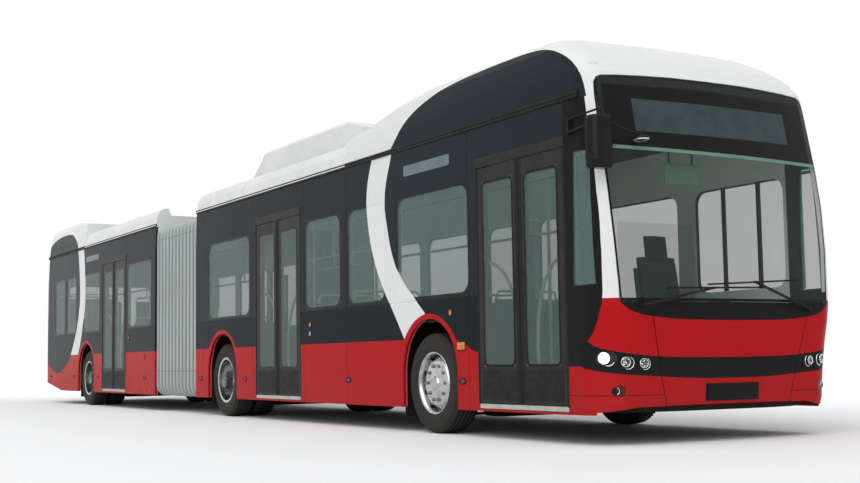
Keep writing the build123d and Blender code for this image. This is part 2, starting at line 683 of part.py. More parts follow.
def dashboard():
    """Dash across the cab, with the driver's binnacle, column and steering wheel."""
    dash = prism("y", ((8200, FLOOR_Z), (8840, FLOOR_Z), (8955, 1000), (8940, 1070), (8780, 1100), (8560, 1080),
                       (8150, 1010), (8120, 900)), *DASH_Y)
    column = Pos(8130, 640, 930) * Rot(0, -35, 0) * Cylinder(28, 320)
    wheel_ring = Face(Wire.make_polygon([Vector(210, 0, -14), Vector(238, 0, -14), Vector(238, 0, 14),
                                         Vector(210, 0, 14)], close=True))
    wheel = revolve(wheel_ring, axis=Axis.Z)
    spokes = Box(430, 40, 12) + Cylinder(45, 20)
    return dash + column + Pos(8038, 640, 1061) * Rot(0, -35, 0) * (wheel + spokes)


def driver_seat():
    return prism("y", [(7370 + a, 305 + 180 + z if z > 0 else 305) for a, z in SEAT_PROFILE], 420, 900)


def cab_partition():
    """Screen behind the driver's place."""
    return box(7180, 7210, 300, 1230, 305, 2000)


# ---- outside fittings --------------------------------------------------------------------------
def roof_unit():
    """Air conditioning housing on the front section's roof."""
    side_view = ((1190, DECK_Z), (1190, 3145), (1410, 3270), (1630, 3440), (3870, 3440), (4400, 3290),
                 (4400, DECK_Z))
    front_view = ((-1015, DECK_Z), (-1015, 3390), (-950, 3440), (950, 3440), (1015, 3390), (1015, DECK_Z))
    return prism("y", side_view, -1015, 1015) & prism("x", front_view, 1000, 4500)


MIRROR_PLAN = ((8945, -1370), (8990, -1385), (9050, -1370), (9060, -1260), (9050, -1150), (8990, -1135),
               (8945, -1150))
MIRROR_LOW, MIRROR_HIGH = 2170.0, 2595.0
MIRROR_FOOT_X = 8600.0
MIRROR_STAY_X = 8985.0
SMALL_MIRROR = (-875.0, 2435.0, 60.0)


def mirrors():
    """Main mirror on a bracket from the right front corner, and a small wide-angle one beside it."""
    y, z, radius = SMALL_MIRROR
    top, near, far = MIRROR_HIGH, MIRROR_STAY_X, MIRROR_STAY_X + 20
    head = prism("z", MIRROR_PLAN, MIRROR_LOW, top)
    arm = box(MIRROR_FOOT_X, far, -1300, -1275, top, top + 30)
    foot = box(MIRROR_FOOT_X, MIRROR_FOOT_X + 40, -1300, -1255, top - 80, top + 40) - front_cap()
    stay = box(near, far, -1275, y + 15, top, top + 20)
    drop = box(near, far, y - 15, y + 15, z, top)
    small = rod("x", (0, y, z), radius, near - 10, far + 10)
    return head + arm + foot + stay + drop + small


# Wipers: spindle, arm's far end, then both ends of the blade, as Y and height.
WIPERS = (
    ((-960.0, 1104.0), (-240.0, 1246.0), (-720.0, 1238.0), (240.0, 1254.0)),
    ((828.0, 1078.0), (200.0, 1303.0), (-300.0, 1272.0), (680.0, 1322.0)),
)
SPINDLE_PIN_R = 16.0
ARM_FRONT_X = 9113.0


def wiper_spindles():
    return [rod("x", (0, *spec[0]), SPINDLE_PIN_R, 8900, 9100) for spec in WIPERS]


def wiper_bar(start, end, thick, height):
    """Flat bar from one Y and height to another, its front face at the arms' front plane."""
    (y0, z0), (y1, z1) = start, end
    tilt = math.degrees(math.atan2(z1 - z0, y1 - y0))
    return Pos(ARM_FRONT_X - thick / 2, (y0 + y1) / 2, (z0 + z1) / 2) * Rot(tilt, 0, 0) * Box(
        thick, math.hypot(y1 - y0, z1 - z0), height)


def wipers():
    """Two wiper arms with blades, parked low across the screen."""
    return [
        wiper_bar(spindle, reach, 14, 20) + wiper_bar(low, high, 20, 14)
        + rod("x", (0, *spindle), SPINDLE_PIN_R, 8985, ARM_FRONT_X)
        for spindle, reach, low, high in WIPERS
    ]


def power_pack():
    """Drive equipment behind the rear lid, as one block."""
    return box(-8850, -7650, -600, 600, FLOOR_Z, 840) - below(TAIL_FLOOR, FLOOR_THICK)


# ---- write every node --------------------------------------------------------------------------
def main():
    os.makedirs("parts", exist_ok=True)
    front_arches = (STEER_AXLE_X, MIDDLE_AXLE_X)
    front_doors = (DOOR_X["door1"], DOOR_X["door2"])
    save("front_sides",
         *side_wall(FRONT_TAIL_X, MASK_X, -1, RIGHT_FRONT_WINDOWS, front_arches, front_doors),
         *side_wall(FRONT_TAIL_X, MASK_X, 1, LEFT_FRONT_WINDOWS, front_arches, ()))
    save("rear_sides",
         *side_wall(REAR_END_X, REAR_HEAD_X, -1, RIGHT_REAR_WINDOWS, (TRAIL_AXLE_X,), (DOOR_X["door3"],)),
         *side_wall(REAR_END_X, REAR_HEAD_X, 1, LEFT_REAR_WINDOWS, (TRAIL_AXLE_X,), ()))
    mask, dome, screen, corner_glass, lamps = front_end()
    save("front_mask", mask)
    save("front_dome", dome)
    save("windscreen", screen)
    save("front_lamps", *lamps)
    save("front_windows", *side_glass(-1, RIGHT_FRONT_WINDOWS), *side_glass(1, LEFT_FRONT_WINDOWS), corner_glass)
    end, rear_dome, rear_screen, lid, tail_lamps = rear_end()
    save("rear_end", end)
    save("rear_dome", rear_dome)
    save("rear_lid", lid)
    save("rear_lamps", *tail_lamps)
    save("rear_windows", *side_glass(-1, RIGHT_REAR_WINDOWS), *side_glass(1, LEFT_REAR_WINDOWS), rear_screen)
    save("front_roof", roof(FRONT_TAIL_X, FRONT_DOME_X) + portal_frame(FRONT_TAIL_X, FRONT_TAIL_X + 40))
    save("rear_roof", roof(REAR_DOME_X, REAR_HEAD_X) + portal_frame(REAR_HEAD_X - 40, REAR_HEAD_X))
    save("front_floor", front_floor())
    save("rear_floor", rear_floor())
    save("roof_unit", roof_unit())
    doors()
    wheels()
    save("front_axle", front_axle())
    save("middle_axle", portal_axle(MIDDLE_AXLE_X))
    save("rear_axle", portal_axle(TRAIL_AXLE_X))
    left = knuckle()
    save("knuckle_left", left)
    save("knuckle_right", mirror(left, about=Plane.XZ))
    save("tie_rod", tie_rod())
    save("turntable_lower", turntable_lower())
    save("turntable_upper", turntable_upper())
    save("bellows", bellows())
    save("front_seats", *[seat_pair(x, side, FLOOR_Z) for x, side in FRONT_SEATS], driver_seat())
    save("rear_seats", *[seat_pair(x, side, FLOOR_Z) for x, side in REAR_SEATS],
         *[seat_pair(x, side, REAR_DECK_Z) for x, side in DECK_SEATS])
    save("front_handrails", *[pole(x, side, FLOOR_Z) for x, side in FRONT_POLES])
    save("rear_handrails", *[pole(x, side, FLOOR_Z) for x, side in REAR_POLES])
    save("cab", dashboard(), cab_partition())
    save("mirrors", *mirrors())
    save("wipers", *wipers())
    save("power_pack", power_pack())


main()
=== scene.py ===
"""Finish and fittings of the articulated bus: paint, glass, wheels, bellows, trim and cabin."""

import itertools
import math

import bmesh
import bpy
from mathutils import Matrix, Vector


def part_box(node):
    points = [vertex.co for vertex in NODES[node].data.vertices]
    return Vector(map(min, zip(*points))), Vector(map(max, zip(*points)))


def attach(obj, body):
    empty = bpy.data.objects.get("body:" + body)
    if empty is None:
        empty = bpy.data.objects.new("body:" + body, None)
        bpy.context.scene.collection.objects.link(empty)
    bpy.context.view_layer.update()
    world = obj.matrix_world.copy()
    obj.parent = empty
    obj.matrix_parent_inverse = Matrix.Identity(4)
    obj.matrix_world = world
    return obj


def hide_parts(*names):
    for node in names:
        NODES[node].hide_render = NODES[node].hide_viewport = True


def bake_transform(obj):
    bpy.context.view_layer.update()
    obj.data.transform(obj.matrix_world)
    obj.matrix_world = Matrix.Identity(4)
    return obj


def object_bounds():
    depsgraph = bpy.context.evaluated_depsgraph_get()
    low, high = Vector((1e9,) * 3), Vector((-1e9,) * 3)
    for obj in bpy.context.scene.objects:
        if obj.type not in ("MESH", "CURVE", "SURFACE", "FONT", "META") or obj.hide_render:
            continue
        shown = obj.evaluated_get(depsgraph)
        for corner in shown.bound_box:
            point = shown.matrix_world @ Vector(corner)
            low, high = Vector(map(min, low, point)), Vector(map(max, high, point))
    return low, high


bl_info = {
    "name": "Articulated bus",
    "version": (1, 0, 0),
    "blender": (4, 5, 0),
    "location": "View3D > Sidebar > Bus",
    "description": "Paints and fits out the packed articulated bus",
    "category": "Object",
}

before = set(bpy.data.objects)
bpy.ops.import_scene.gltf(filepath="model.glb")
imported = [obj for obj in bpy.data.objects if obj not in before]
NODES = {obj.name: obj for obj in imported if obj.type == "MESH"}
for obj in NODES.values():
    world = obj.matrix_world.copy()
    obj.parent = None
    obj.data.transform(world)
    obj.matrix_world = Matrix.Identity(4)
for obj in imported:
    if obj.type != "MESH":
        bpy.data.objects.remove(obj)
CAD_LOW, CAD_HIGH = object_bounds()

FRONT, REAR = "front_section", "rear_section"
SECTIONS = (FRONT, REAR)


def centre_of(node):
    low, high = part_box(node)
    return (low + high) / 2


# Side skin, eaves and wheels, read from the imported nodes.
SIDES = {FRONT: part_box("front_sides"), REAR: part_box("rear_sides")}
SKIRT_Z, EAVES_Z, SIDE_Y = SIDES[FRONT][0].z, SIDES[FRONT][1].z, SIDES[FRONT][1].y
SECTION_SPANS = {section: (low.x, high.x) for section, (low, high) in SIDES.items()}
TAIL_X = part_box("rear_end")[0].x
AXLES = {axle: centre_of(f"{axle}_rim_left").x for axle in ("front", "middle", "rear")}
WHEEL_Z = centre_of("front_rim_left").z
DOORS = {"door1": FRONT, "door2": FRONT, "door3": REAR}

# Rows of the front end's skin: height, half width, reach along X, corner radius.
NOSE = (
    (0.240, 1.262, 8.985, 0.310),
    (0.330, 1.275, 9.008, 0.320),
    (0.560, 1.275, 9.030, 0.320),
    (0.800, 1.275, 9.062, 0.310),
    (1.000, 1.275, 9.090, 0.280),
    (1.140, 1.275, 9.088, 0.240),
    (1.600, 1.275, 9.070, 0.205),
    (2.000, 1.275, 9.036, 0.200),
    (2.300, 1.275, 8.988, 0.200),
    (2.800, 1.262, 8.892, 0.200),
    (2.950, 1.256, 8.862, 0.200),
    (3.020, 1.253, 8.835, 0.205),
    (3.100, 1.243, 8.767, 0.215),
    (3.200, 1.222, 8.659, 0.225),
)
NOSE_BOW = math.radians(7)

# Clear openings of the side windows: low X, high X.
SILL_Z, HEAD_Z, WINDOW_R = 1.315, 2.320, 0.120
RIGHT_WINDOWS = {
    FRONT: ((5.640, 6.980), (4.515, 5.340), (3.400, 4.300), (0.200, 1.655)),
    REAR: ((-3.585, -2.370), (-6.260, -5.240), (-7.430, -6.800), (-8.295, -7.620)),
}
LEFT_WINDOWS = {
    FRONT: ((7.250, 8.440), *RIGHT_WINDOWS[FRONT][:3], (1.870, 3.200), RIGHT_WINDOWS[FRONT][3]),
    REAR: (RIGHT_WINDOWS[REAR][0], (-5.030, -3.750), *RIGHT_WINDOWS[REAR][1:]),
}


# ---- user settings -----------------------------------------------------------------------------
def colour(name, description, value):
    return bpy.props.FloatVectorProperty(name=name, description=description, subtype="COLOR", size=3,
                                         min=0.0, max=1.0, default=value)


def length(name, description, value):
    return bpy.props.FloatProperty(name=name, description=description, unit="LENGTH", min=0.0, default=value)


class BusPaintSettings(bpy.types.PropertyGroup):
    """Colours of the paintwork."""

    charcoal: colour("Charcoal", "Side paint above the skirt", (0.019, 0.026, 0.031))
    red: colour("Red", "Skirt and front paint", (0.43, 0.011, 0.014))
    white: colour("White", "Roof, pillars and crescents", (0.74, 0.75, 0.74))
    black: colour("Black", "Cowl, lamp band and door surrounds", (0.014, 0.014, 0.015))


class BusTrimSettings(bpy.types.PropertyGroup):
    """Sizes of the outside trim."""

    rail_height: length("Drip rail height", "Height of the rail along the eaves", 0.052)
    seal_width: length("Door seal width", "Width of the rubber on each meeting edge", 0.046)
    lamp_radius: length("Side lamp radius", "Radius of the round lamps along the skirt", 0.024)


class BusWheelSettings(bpy.types.PropertyGroup):
    """Details of the wheels."""

    nuts: bpy.props.IntProperty(name="Wheel nuts", description="Nuts on each wheel", min=4, max=20,
                                default=10)
    nut_circle: length("Nut circle", "Radius of the circle of wheel nuts", 0.1675)
    lugs: bpy.props.IntProperty(name="Shoulder lugs", description="Lugs round each tyre shoulder", min=20,
                                max=120, default=72)


class BusClothSettings(bpy.types.PropertyGroup):
    """The bellows between the two sections."""

    folds: bpy.props.IntProperty(name="Folds", description="Folds of the bellows", min=6, max=30, default=12)
    depth: length("Fold depth", "Depth of each fold", 0.080)
    cloth: colour("Cloth", "Coated cloth of the bellows", (0.40, 0.455, 0.44))


# ---- node writing ------------------------------------------------------------------------------
def put(tree, socket, value):
    """Links a field or output into a socket, or sets the socket's own value."""
    value = getattr(value, "socket", value)
    if isinstance(value, bpy.types.NodeSocket):
        tree.links.new(value, socket)
    elif value is not None:
        if socket.type == "RGBA" and len(value) == 3:
            value = (*value, 1.0)
        socket.default_value = value


def node(tree, kind, *values, **named):
    """New node: inputs filled in order or by capitalised name, and its own settings by small name."""
    made = tree.nodes.new(kind)
    for name, value in named.items():
        if name[0].isupper():
            put(tree, made.inputs[name.replace("_", " ")], value)
        else:
            setattr(made, name, value)
    for socket, value in zip(made.inputs, values):
        put(tree, socket, value)
    return made


class Field:
    """Number or mask in a node tree; &, | and ~ join masks, and a mask is 1 where it holds."""

    def __init__(self, tree, socket):
        self.tree, self.socket = tree, socket

    def math(self, operation, *values):
        return Field(self.tree, node(self.tree, "ShaderNodeMath", *values, operation=operation).outputs[0])

    def __lt__(self, other):
        return self.math("LESS_THAN", self, other)

    def __gt__(self, other):
        return self.math("LESS_THAN", other, self)

    def __and__(self, other):
        return self.math("MULTIPLY", self, other)

    def __or__(self, other):
        return self.math("MAXIMUM", self, other)

    def __invert__(self):
        return self.math("SUBTRACT", 1.0, self)

    def __abs__(self):
        return self.math("ABSOLUTE", self)

    def __add__(self, other):
        return self.math("ADD", self, other)

    def __sub__(self, other):
        return self.math("SUBTRACT", self, other)

    def __truediv__(self, other):
        return self.math("DIVIDE", self, other)

    __mul__ = __and__

    def between(self, low, high):
        return (self > low) & (self < high)

    def span(self, low, high, to_low=0.0, to_high=1.0):
        """The field drawn from one range to another, and held at its ends."""
        made = node(self.tree, "ShaderNodeMapRange", self, low, high, to_low, to_high)
        return Field(self.tree, made.outputs[0])

    def line(self, points):
        """Smooth line through (along, across) points, read along the field."""
        along, across = zip(*points)
        low, high = min(along), max(along)
        least, most = min(across), max(across)
        made = node(self.tree, "ShaderNodeFloatCurve", Value=self.span(low, high))
        curve = made.mapping.curves[0]
        spots = sorted(((a - low) / (high - low), (b - least) / (most - least)) for a, b in points)
        curve.points[0].location, curve.points[1].location = spots[0], spots[-1]
        for spot in spots[1:-1]:
            curve.points.new(*spot)
        made.mapping.update()
        return Field(self.tree, made.outputs[0]).span(0.0, 1.0, least, most)


def any_of(masks):
    """Mask that holds where one of these does."""
    joined, *others = masks
    for mask in others:
        joined = joined | mask
    return joined


class Finish:
    """A node material on one surface shader, written socket by socket."""

    def __init__(self, name, **sockets):
        self.material = bpy.data.materials.new(name)
        self.material.use_nodes = True
        self.tree = self.material.node_tree
        self.tree.nodes.clear()
        self.surface = node(self.tree, "ShaderNodeBsdfPrincipled")
        node(self.tree, "ShaderNodeOutputMaterial", Surface=self.surface.outputs[0])
        self.place = node(self.tree, "ShaderNodeTexCoord").outputs["Object"]
        split = node(self.tree, "ShaderNodeSeparateXYZ", self.place)
        self.x, self.y, self.z = (Field(self.tree, output) for output in split.outputs)
        self.set(**sockets)

    def set(self, **sockets):
        for name, value in sockets.items():
            put(self.tree, self.surface.inputs[name.replace("_", " ")], value)

    def texture(self, kind, output, **settings):
        return Field(self.tree, node(self.tree, kind, **{"Vector": self.place, **settings}).outputs[output])

    def noise(self, scale, detail=3.0, stretch=None):
        place = self.place
        if stretch:
            place = node(self.tree, "ShaderNodeMapping", Vector=place, Scale=stretch).outputs[0]
        return self.texture("ShaderNodeTexNoise", "Fac", Vector=place, Scale=scale, Detail=detail)

    def mix(self, factor, a, b):
        made = node(self.tree, "ShaderNodeMix", data_type="RGBA")
        for index, value in ((0, factor), (6, a), (7, b)):
            put(self.tree, made.inputs[index], value)
        return made.outputs[2]

    def coat(self, paint, *layers):
        """Colours laid over a paint in turn, each a (mask, colour)."""
        for mask, shade in layers:
            paint = self.mix(mask, paint, shade)
        return paint

    def bump(self, height, distance, strength=0.5):
        made = node(self.tree, "ShaderNodeBump", Height=height, Distance=distance, Strength=strength)
        self.set(Normal=made.outputs[0])


def scaled(shade, share):
    return tuple(c * share for c in shade)


def plain(name, base, second, rough=(0.35, 0.5), scale=6.0, grain=None, coat=None):
    """Moulded, painted or cast finish: two tones in a soft cloud, uneven gloss, fine grain, clear coat."""
    f = Finish(name, Specular_IOR_Level=0.08)
    f.set(Base_Color=f.mix(f.noise(scale).span(0.3, 0.7), base, second),
          Roughness=f.noise(scale * 3).span(0.3, 0.7, *rough))
    if coat:
        f.set(Coat_Weight=coat[0], Coat_Roughness=coat[1])
    if grain:
        f.bump(f.noise(grain[0]), grain[1])
    return f.material


def seams(lines, width=0.0035):
    """Mask of thin panel gaps along lines of constant value: (coordinate, value) pairs."""
    return any_of(abs(coordinate - value) < width for coordinate, value in lines)


def painted(f, colours, high_x):
    """Gloss coat over the mixed colours, pale trim inside, road dust low down and a faint ripple."""
    dust = f.z.span(0.75, 0.25, 0.0, 0.22) * f.noise(2.2, 5.0)
    inside = (abs(f.y) < 1.2325) & f.x.between(-8.7, high_x) & (f.z < 2.79)
    f.set(Base_Color=f.coat(colours, (dust, (0.10, 0.085, 0.07)), (inside, (0.60, 0.67, 0.61))),
          Roughness=f.noise(1.3).span(0.2, 0.8, 0.16, 0.26) + dust, Specular_IOR_Level=0.025)
    f.bump(f.noise(1.8, 2.0), 0.004, 0.08)
    return f.material


# Paint lines. Each is a list of (along, across) points in metres.
CRESCENT_FRONT = ((1.152, 6.170), (1.328, 5.935), (1.489, 5.733), (1.714, 5.548), (2.032, 5.426),
                  (2.349, 5.369), (2.768, 5.493), (2.850, 5.530))
CRESCENT_REAR = ((0.900, 5.760), (0.982, 5.696), (1.209, 5.510), (1.455, 5.298), (1.727, 5.124),
                 (2.076, 4.995), (2.400, 4.957), (2.781, 5.062))
DOME_TOP = ((5.476, 2.848), (5.580, 2.936), (5.682, 3.023), (5.864, 3.136), (6.043, 3.207), (6.219, 3.256),
            (6.395, 3.293), (6.700, 3.330), (7.000, 3.346), (7.400, 3.356), (7.800, 3.353), (8.059, 3.333),
            (8.237, 3.293), (8.391, 3.233), (8.539, 3.146), (8.615, 3.083), (8.685, 3.005), (8.720, 2.930),
            (8.743, 2.851), (8.764, 2.765))
SKIRT_TOP = ((6.640, 0.900), (6.900, 0.845), (7.124, 0.764), (7.600, 0.764))
# Along the corner: height and X of the face's rear edge, in red below the screen's foot and white above.
FACE_EDGE = ((0.800, 8.690), (0.851, 8.786), (0.951, 8.850), (1.067, 8.894), (1.161, 8.918), (1.537, 8.922),
             (2.196, 8.860), (2.512, 8.798), (2.825, 8.738))
COWL_LOW = ((0.0, 0.985), (0.383, 0.988), (0.582, 0.993), (0.780, 1.009), (0.900, 1.024), (1.004, 1.048),
            (1.090, 1.095), (1.136, 1.142))
BAND_TOP = ((0.0, 0.686), (0.361, 0.688), (0.652, 0.694), (0.847, 0.706), (1.107, 0.737), (1.224, 0.771),
            (1.263, 0.812), (1.276, 0.860))
BAND_LOW = ((0.0, 0.516), (0.350, 0.519), (0.760, 0.541), (1.098, 0.565), (1.257, 0.600), (1.276, 0.632))
TAIL_PANEL_LOW = ((-9.110, 1.020), (-8.872, 0.765), (-8.500, 0.625), (-8.126, 0.566), (-7.700, 0.625),
                  (-7.248, 0.810), (-7.071, 0.959), (-6.669, 1.453), (-6.508, 1.909))
TAIL_PANEL_FRONT = ((1.453, -6.669), (1.700, -6.560), (1.909, -6.508), (2.200, -6.520), (2.471, -6.585),
                    (2.819, -6.715))
TAIL_PANEL_TOP = ((-9.110, 2.780), (-8.971, 2.924), (-8.635, 3.098), (-7.972, 3.178), (-7.335, 3.158),
                  (-6.963, 3.048), (-6.715, 2.819))
TAIL_STRIPE_FRONT = ((0.900, -6.620), (1.169, -6.426), (1.531, -6.264), (1.892, -6.161), (2.259, -6.172),
                     (2.766, -6.303))
ARCH_RING = 0.622
# Half widths past which a point is on the side skin and on the roof's edge, and X where the front end begins.
SKIN_HALF, DOME_HALF, CORNER_X = 1.2, 1.02, 8.49
# Rear face: height of its foot's red, and half width of its dark middle.
END_SPLIT_Z, END_HALF = 1.250, 1.06
GAP_BLACK = (0.004, 0.004, 0.004)
# Round lamps along the skirts: height, and X of each on both sides.
SIDE_LAMP_Z = 0.500
SKIRT_LAMPS = {FRONT: (6.855, 4.494, 1.520, -0.100), REAR: (-2.650, -5.300, -6.870, -8.600)}


def arch_ring(f, axle, centre_z=0.52):
    """Mask of the red ring painted round a wheel arch."""
    across, up = f.x - axle, f.z - centre_z
    return f.z.math("SQRT", across * across + up * up) < ARCH_RING


def crescent(f):
    """Mask of the white crescent on the front section's sides."""
    return (f.x > f.z.line(CRESCENT_REAR)) & (f.x < f.z.line(CRESCENT_FRONT)) & (f.z > 0.9) & (f.z < EAVES_Z)


def tail_stripe(f):
    """Mask of the rear section's white stripe where it meets the windows."""
    return (f.x < f.z.line(TAIL_STRIPE_FRONT)) & (f.x > -6.45) & (f.z < EAVES_Z) & (abs(f.y) > SKIN_HALF)


def side_marks(f, section, seam_xs):
    """Layers that lie over a section's paint: panel gaps, and the flush oval lamps on the left skirt."""
    rims, lenses = [], []
    up = (f.z - SIDE_LAMP_Z) / 0.030
    for x in SKIRT_LAMPS[section]:
        along = (f.x - x) / 0.062
        apart = along * along + up * up
        rims.append(apart < 1.0)
        lenses.append(apart < 0.55)
    left = f.y > SKIN_HALF
    gap = seams([(f.x, x) for x in seam_xs]) & (f.z < EAVES_Z) & (abs(f.y) > SKIN_HALF)
    return gap, (any_of(rims) & left, (0.012, 0.012, 0.012)), (any_of(lenses) & left, (0.16, 0.07, 0.06))


def low_dark(f, settings):
    """Charcoal of the sides, deeper below the windows."""
    return f.mix(f.z < 1.265, settings.charcoal, scaled(settings.charcoal, 0.6))


def front_paint(settings):
    """Paint of the front section: charcoal side, white crescent and roof, red skirt and face."""
    f = Finish("paint_front_section")
    x, z, half = f.x, f.z, abs(f.y)
    low_body = z < EAVES_Z
    dome_dark = x.between(5.480, 8.764) & (z < x.line(DOME_TOP)) & (half > DOME_HALF) & ~low_body
    skirt = (z < x.line(SKIRT_TOP)) | arch_ring(f, AXLES["front"]) | arch_ring(f, AXLES["middle"])
    white = crescent(f) | (~low_body & ~dome_dark)
    band_low, band_top = half.line(BAND_LOW), half.line(BAND_TOP)
    face = (x > z.line(FACE_EDGE)) & (z > 0.79)
    corner_black = (x > CORNER_X) & ~face & low_body & (z > band_low)
    band = (x > 8.52) & (z > band_low) & (z < band_top)
    cowl = face & (half < 1.136) & (z > half.line(COWL_LOW)) & (z < 1.25)
    gap, rim, lens = side_marks(f, FRONT, (-0.02, 1.78, 3.34, 4.46, 6.98))
    face_gap = seams([(half - z * 0.24, 0.596)]) & (x > 8.8) & (z < half.line(COWL_LOW))
    lip = seams([(z, 0.395)], 0.003) & (x > CORNER_X) & (half > 0.70)
    return painted(f, f.coat(
        low_dark(f, settings),
        (white, settings.white),
        (skirt & (x < CORNER_X), settings.red),
        (corner_black, settings.black),
        (face & low_body, f.mix(z < 1.160, settings.white, settings.red)),
        (z.between(0.6, 0.80) & (z > band_top) & (x > 8.69), settings.red),
        ((x > CORNER_X) & (z < band_low), settings.red),
        (band | cowl, settings.black),
        (gap | face_gap | lip, GAP_BLACK),
        rim,
        lens,
    ), 8.48)


def rear_paint(settings):
    """Paint of the rear section: charcoal side, white stripe, round dark tail panel and red skirt."""
    f = Finish("paint_rear_section")
    x, z, half = f.x, f.z, abs(f.y)
    low_body = z < EAVES_Z
    end_face = (x < -8.93) & (half < 1.235)
    panel_side = (x < z.line(TAIL_PANEL_FRONT)) & (z > 1.453) & low_body
    panel_low = (z > x.line(TAIL_PANEL_LOW)) & (z < 1.454) & (x < -6.669)
    panel_top = ~low_body & (z < x.line(TAIL_PANEL_TOP)) & (x < -6.715) & (half > DOME_HALF) & ~end_face
    stripe = (x < z.line(TAIL_STRIPE_FRONT)) & ~(panel_side | panel_low | panel_top) & low_body
    skirt = ((z < 0.900) | arch_ring(f, AXLES["rear"])) & ~panel_low
    gap, rim, lens = side_marks(f, REAR, (-2.20, -3.66, -5.13, -6.69, -8.60))
    return painted(f, f.coat(
        low_dark(f, settings),
        (stripe | (~low_body & ~panel_top), settings.white),
        (skirt, settings.red),
        (end_face & (z < END_SPLIT_Z), settings.red),
        (end_face & (z > END_SPLIT_Z) & (half > END_HALF), settings.white),
        (end_face & (z > END_SPLIT_Z) & (half < END_HALF) & low_body, settings.charcoal),
        (gap, GAP_BLACK),
        rim,
        lens,
    ), -2.0)


def glass(name, tint, alpha, rough=0.02, film=None):
    """Thin tinted glass with faint streaks in its gloss; film gives the mask of white paint on it."""
    f = Finish(name, Alpha=alpha, IOR=1.5, Specular_IOR_Level=0.5)
    streak = f.noise(3.0, 2.0, stretch=(0.4, 1.0, 2.0))
    base = f.mix(streak.span(0.3, 0.7), tint, scaled(tint, 1.15))
    gloss = streak.span(0.3, 0.7, rough, rough + 0.03)
    if film:
        mask = film(f)
        base = f.mix(mask, base, bpy.context.scene.bus_paint.white)
        gloss = gloss + mask * 0.5
        f.set(Alpha=mask | alpha)
    f.set(Base_Color=base, Roughness=gloss)
    return f.material


def brushed(name, base, second, rough):
    """Polished alloy with turned rings, clouded with a darker second tone as painted reflection."""
    f = Finish(name, Metallic=1.0)
    rings = f.noise(260.0, 2.0, stretch=(1.0, 0.02, 1.0))
    # The darker second tone, laid in a soft cloud, is painted dark reflection.
    f.set(Base_Color=f.mix(f.noise(9.0, 6.0).span(0.5, 0.75), base, second),
          Roughness=rings.span(0.3, 0.7, *rough))
    f.bump(rings, 0.0006, 0.15)
    return f.material


def rubber(name, base, dust, scale):
    """Tyre or seal rubber with dry road dust."""
    f = Finish(name, Specular_IOR_Level=0.1)
    cloud = f.noise(scale, 6.0).span(0.35, 0.75)
    f.set(Base_Color=f.mix(cloud, base, dust), Roughness=cloud.span(0.0, 1.0, 0.55, 0.85))
    f.bump(f.noise(scale * 12), 0.001, 0.3)
    return f.material


def coated_cloth(name, base, fold_count=0):
    """Woven cloth with a rubbery coat, cloudy and darker low down; with folds, painted shade darkens their
    valleys.
    """
    f = Finish(name, Sheen_Weight=0.05, Sheen_Roughness=0.5, Specular_IOR_Level=0.1)
    weave = f.texture("ShaderNodeTexWave", "Fac", Scale=180.0, Distortion=0.6)
    mesh = weave * f.texture("ShaderNodeTexWave", "Fac", Scale=170.0, Distortion=0.6, bands_direction="Z")
    shade = f.noise(2.4, 6.0, stretch=(1.0, 1.0, 0.35)).span(0.42, 0.8) | f.z.span(0.9, 0.25, 0.0, 0.5)
    # With folds, the valleys between them get painted shade in the colour, and the stitched seams are dark.
    if fold_count:
        wave = f.x.span(SECTION_SPANS[REAR][1], SECTION_SPANS[FRONT][0], 0, math.pi * fold_count)
        valley_shade = abs(wave.math("SINE", wave)).span(0.45, 0.92)
        stitch = seams([(f.z, z) for z in (0.60, 2.585)], 0.006)
        shade = (shade * 0.35) | ((valley_shade * 0.80) | (stitch * 0.6))
    f.set(Base_Color=f.mix(shade, base, scaled(base, 0.25)), Roughness=mesh.span(0.0, 1.0, 0.55, 0.75))
    f.bump(mesh, 0.0008, 0.35)
    return f.material


def floor_cover():
    """Speckled floor, black underneath, in the nose and on the wheel boxes."""
    f = Finish("floor_cover", Specular_IOR_Level=0.08)
    flecks = f.noise(60.0).span(0.35, 0.65)
    boxes = (abs(f.y) > 0.54) & (f.z < 1.08) & any_of(f.x.between(x - 0.66, x + 0.66) for x in AXLES.values())
    f.set(Base_Color=f.mix((f.z < 0.3035) | (f.x > 8.55) | boxes,
                           f.mix(flecks, (0.16, 0.17, 0.17), (0.24, 0.25, 0.25)),
                           f.mix(flecks, (0.012, 0.012, 0.012), (0.026, 0.024, 0.021))),
          Roughness=flecks.span(0.0, 1.0, 0.5, 0.75))
    return f.material


def cab_shell():
    """Dark trim of the cab, with the clear pane of its partition."""
    f = Finish("cab_shell", Specular_IOR_Level=0.08)
    pane = (f.x < 7.215) & f.z.between(1.15, 2.01) & f.y.between(0.28, 1.24)
    f.set(Base_Color=f.mix(pane, f.mix(f.noise(8.0), (0.030, 0.032, 0.034), (0.044, 0.046, 0.047)),
                           (0.12, 0.17, 0.15)),
          Roughness=f.noise(260.0).span(0.3, 0.7, 0.45, 0.6), Alpha=pane.span(0.0, 1.0, 1.0, 0.12))
    return f.material


def frit():
    """Black border printed on the glass, which carries the white stripes."""
    f = Finish("frit", Specular_IOR_Level=0.08)
    cloud = f.noise(4.0)
    f.set(Base_Color=f.mix(crescent(f) | tail_stripe(f),
                           f.mix(cloud, (0.006, 0.006, 0.007), (0.012, 0.012, 0.013)),
                           bpy.context.scene.bus_paint.white),
          Roughness=cloud.span(0.3, 0.7, 0.1, 0.2))
    return f.material


def lamp_bowl():
    """Inside of the lamp openings: dark in the band, deep red in the fog lamps."""
    f = Finish("lamp_bowl", Roughness=0.12, Specular_IOR_Level=0.3)
    speck = f.noise(40.0).span(0.3, 0.7)
    f.set(Base_Color=f.mix(f.z < 0.5, f.mix(speck, (0.010, 0.010, 0.011), (0.03, 0.03, 0.03)),
                           f.mix(speck, (0.10, 0.002, 0.003), (0.07, 0.002, 0.002))))
    return f.material


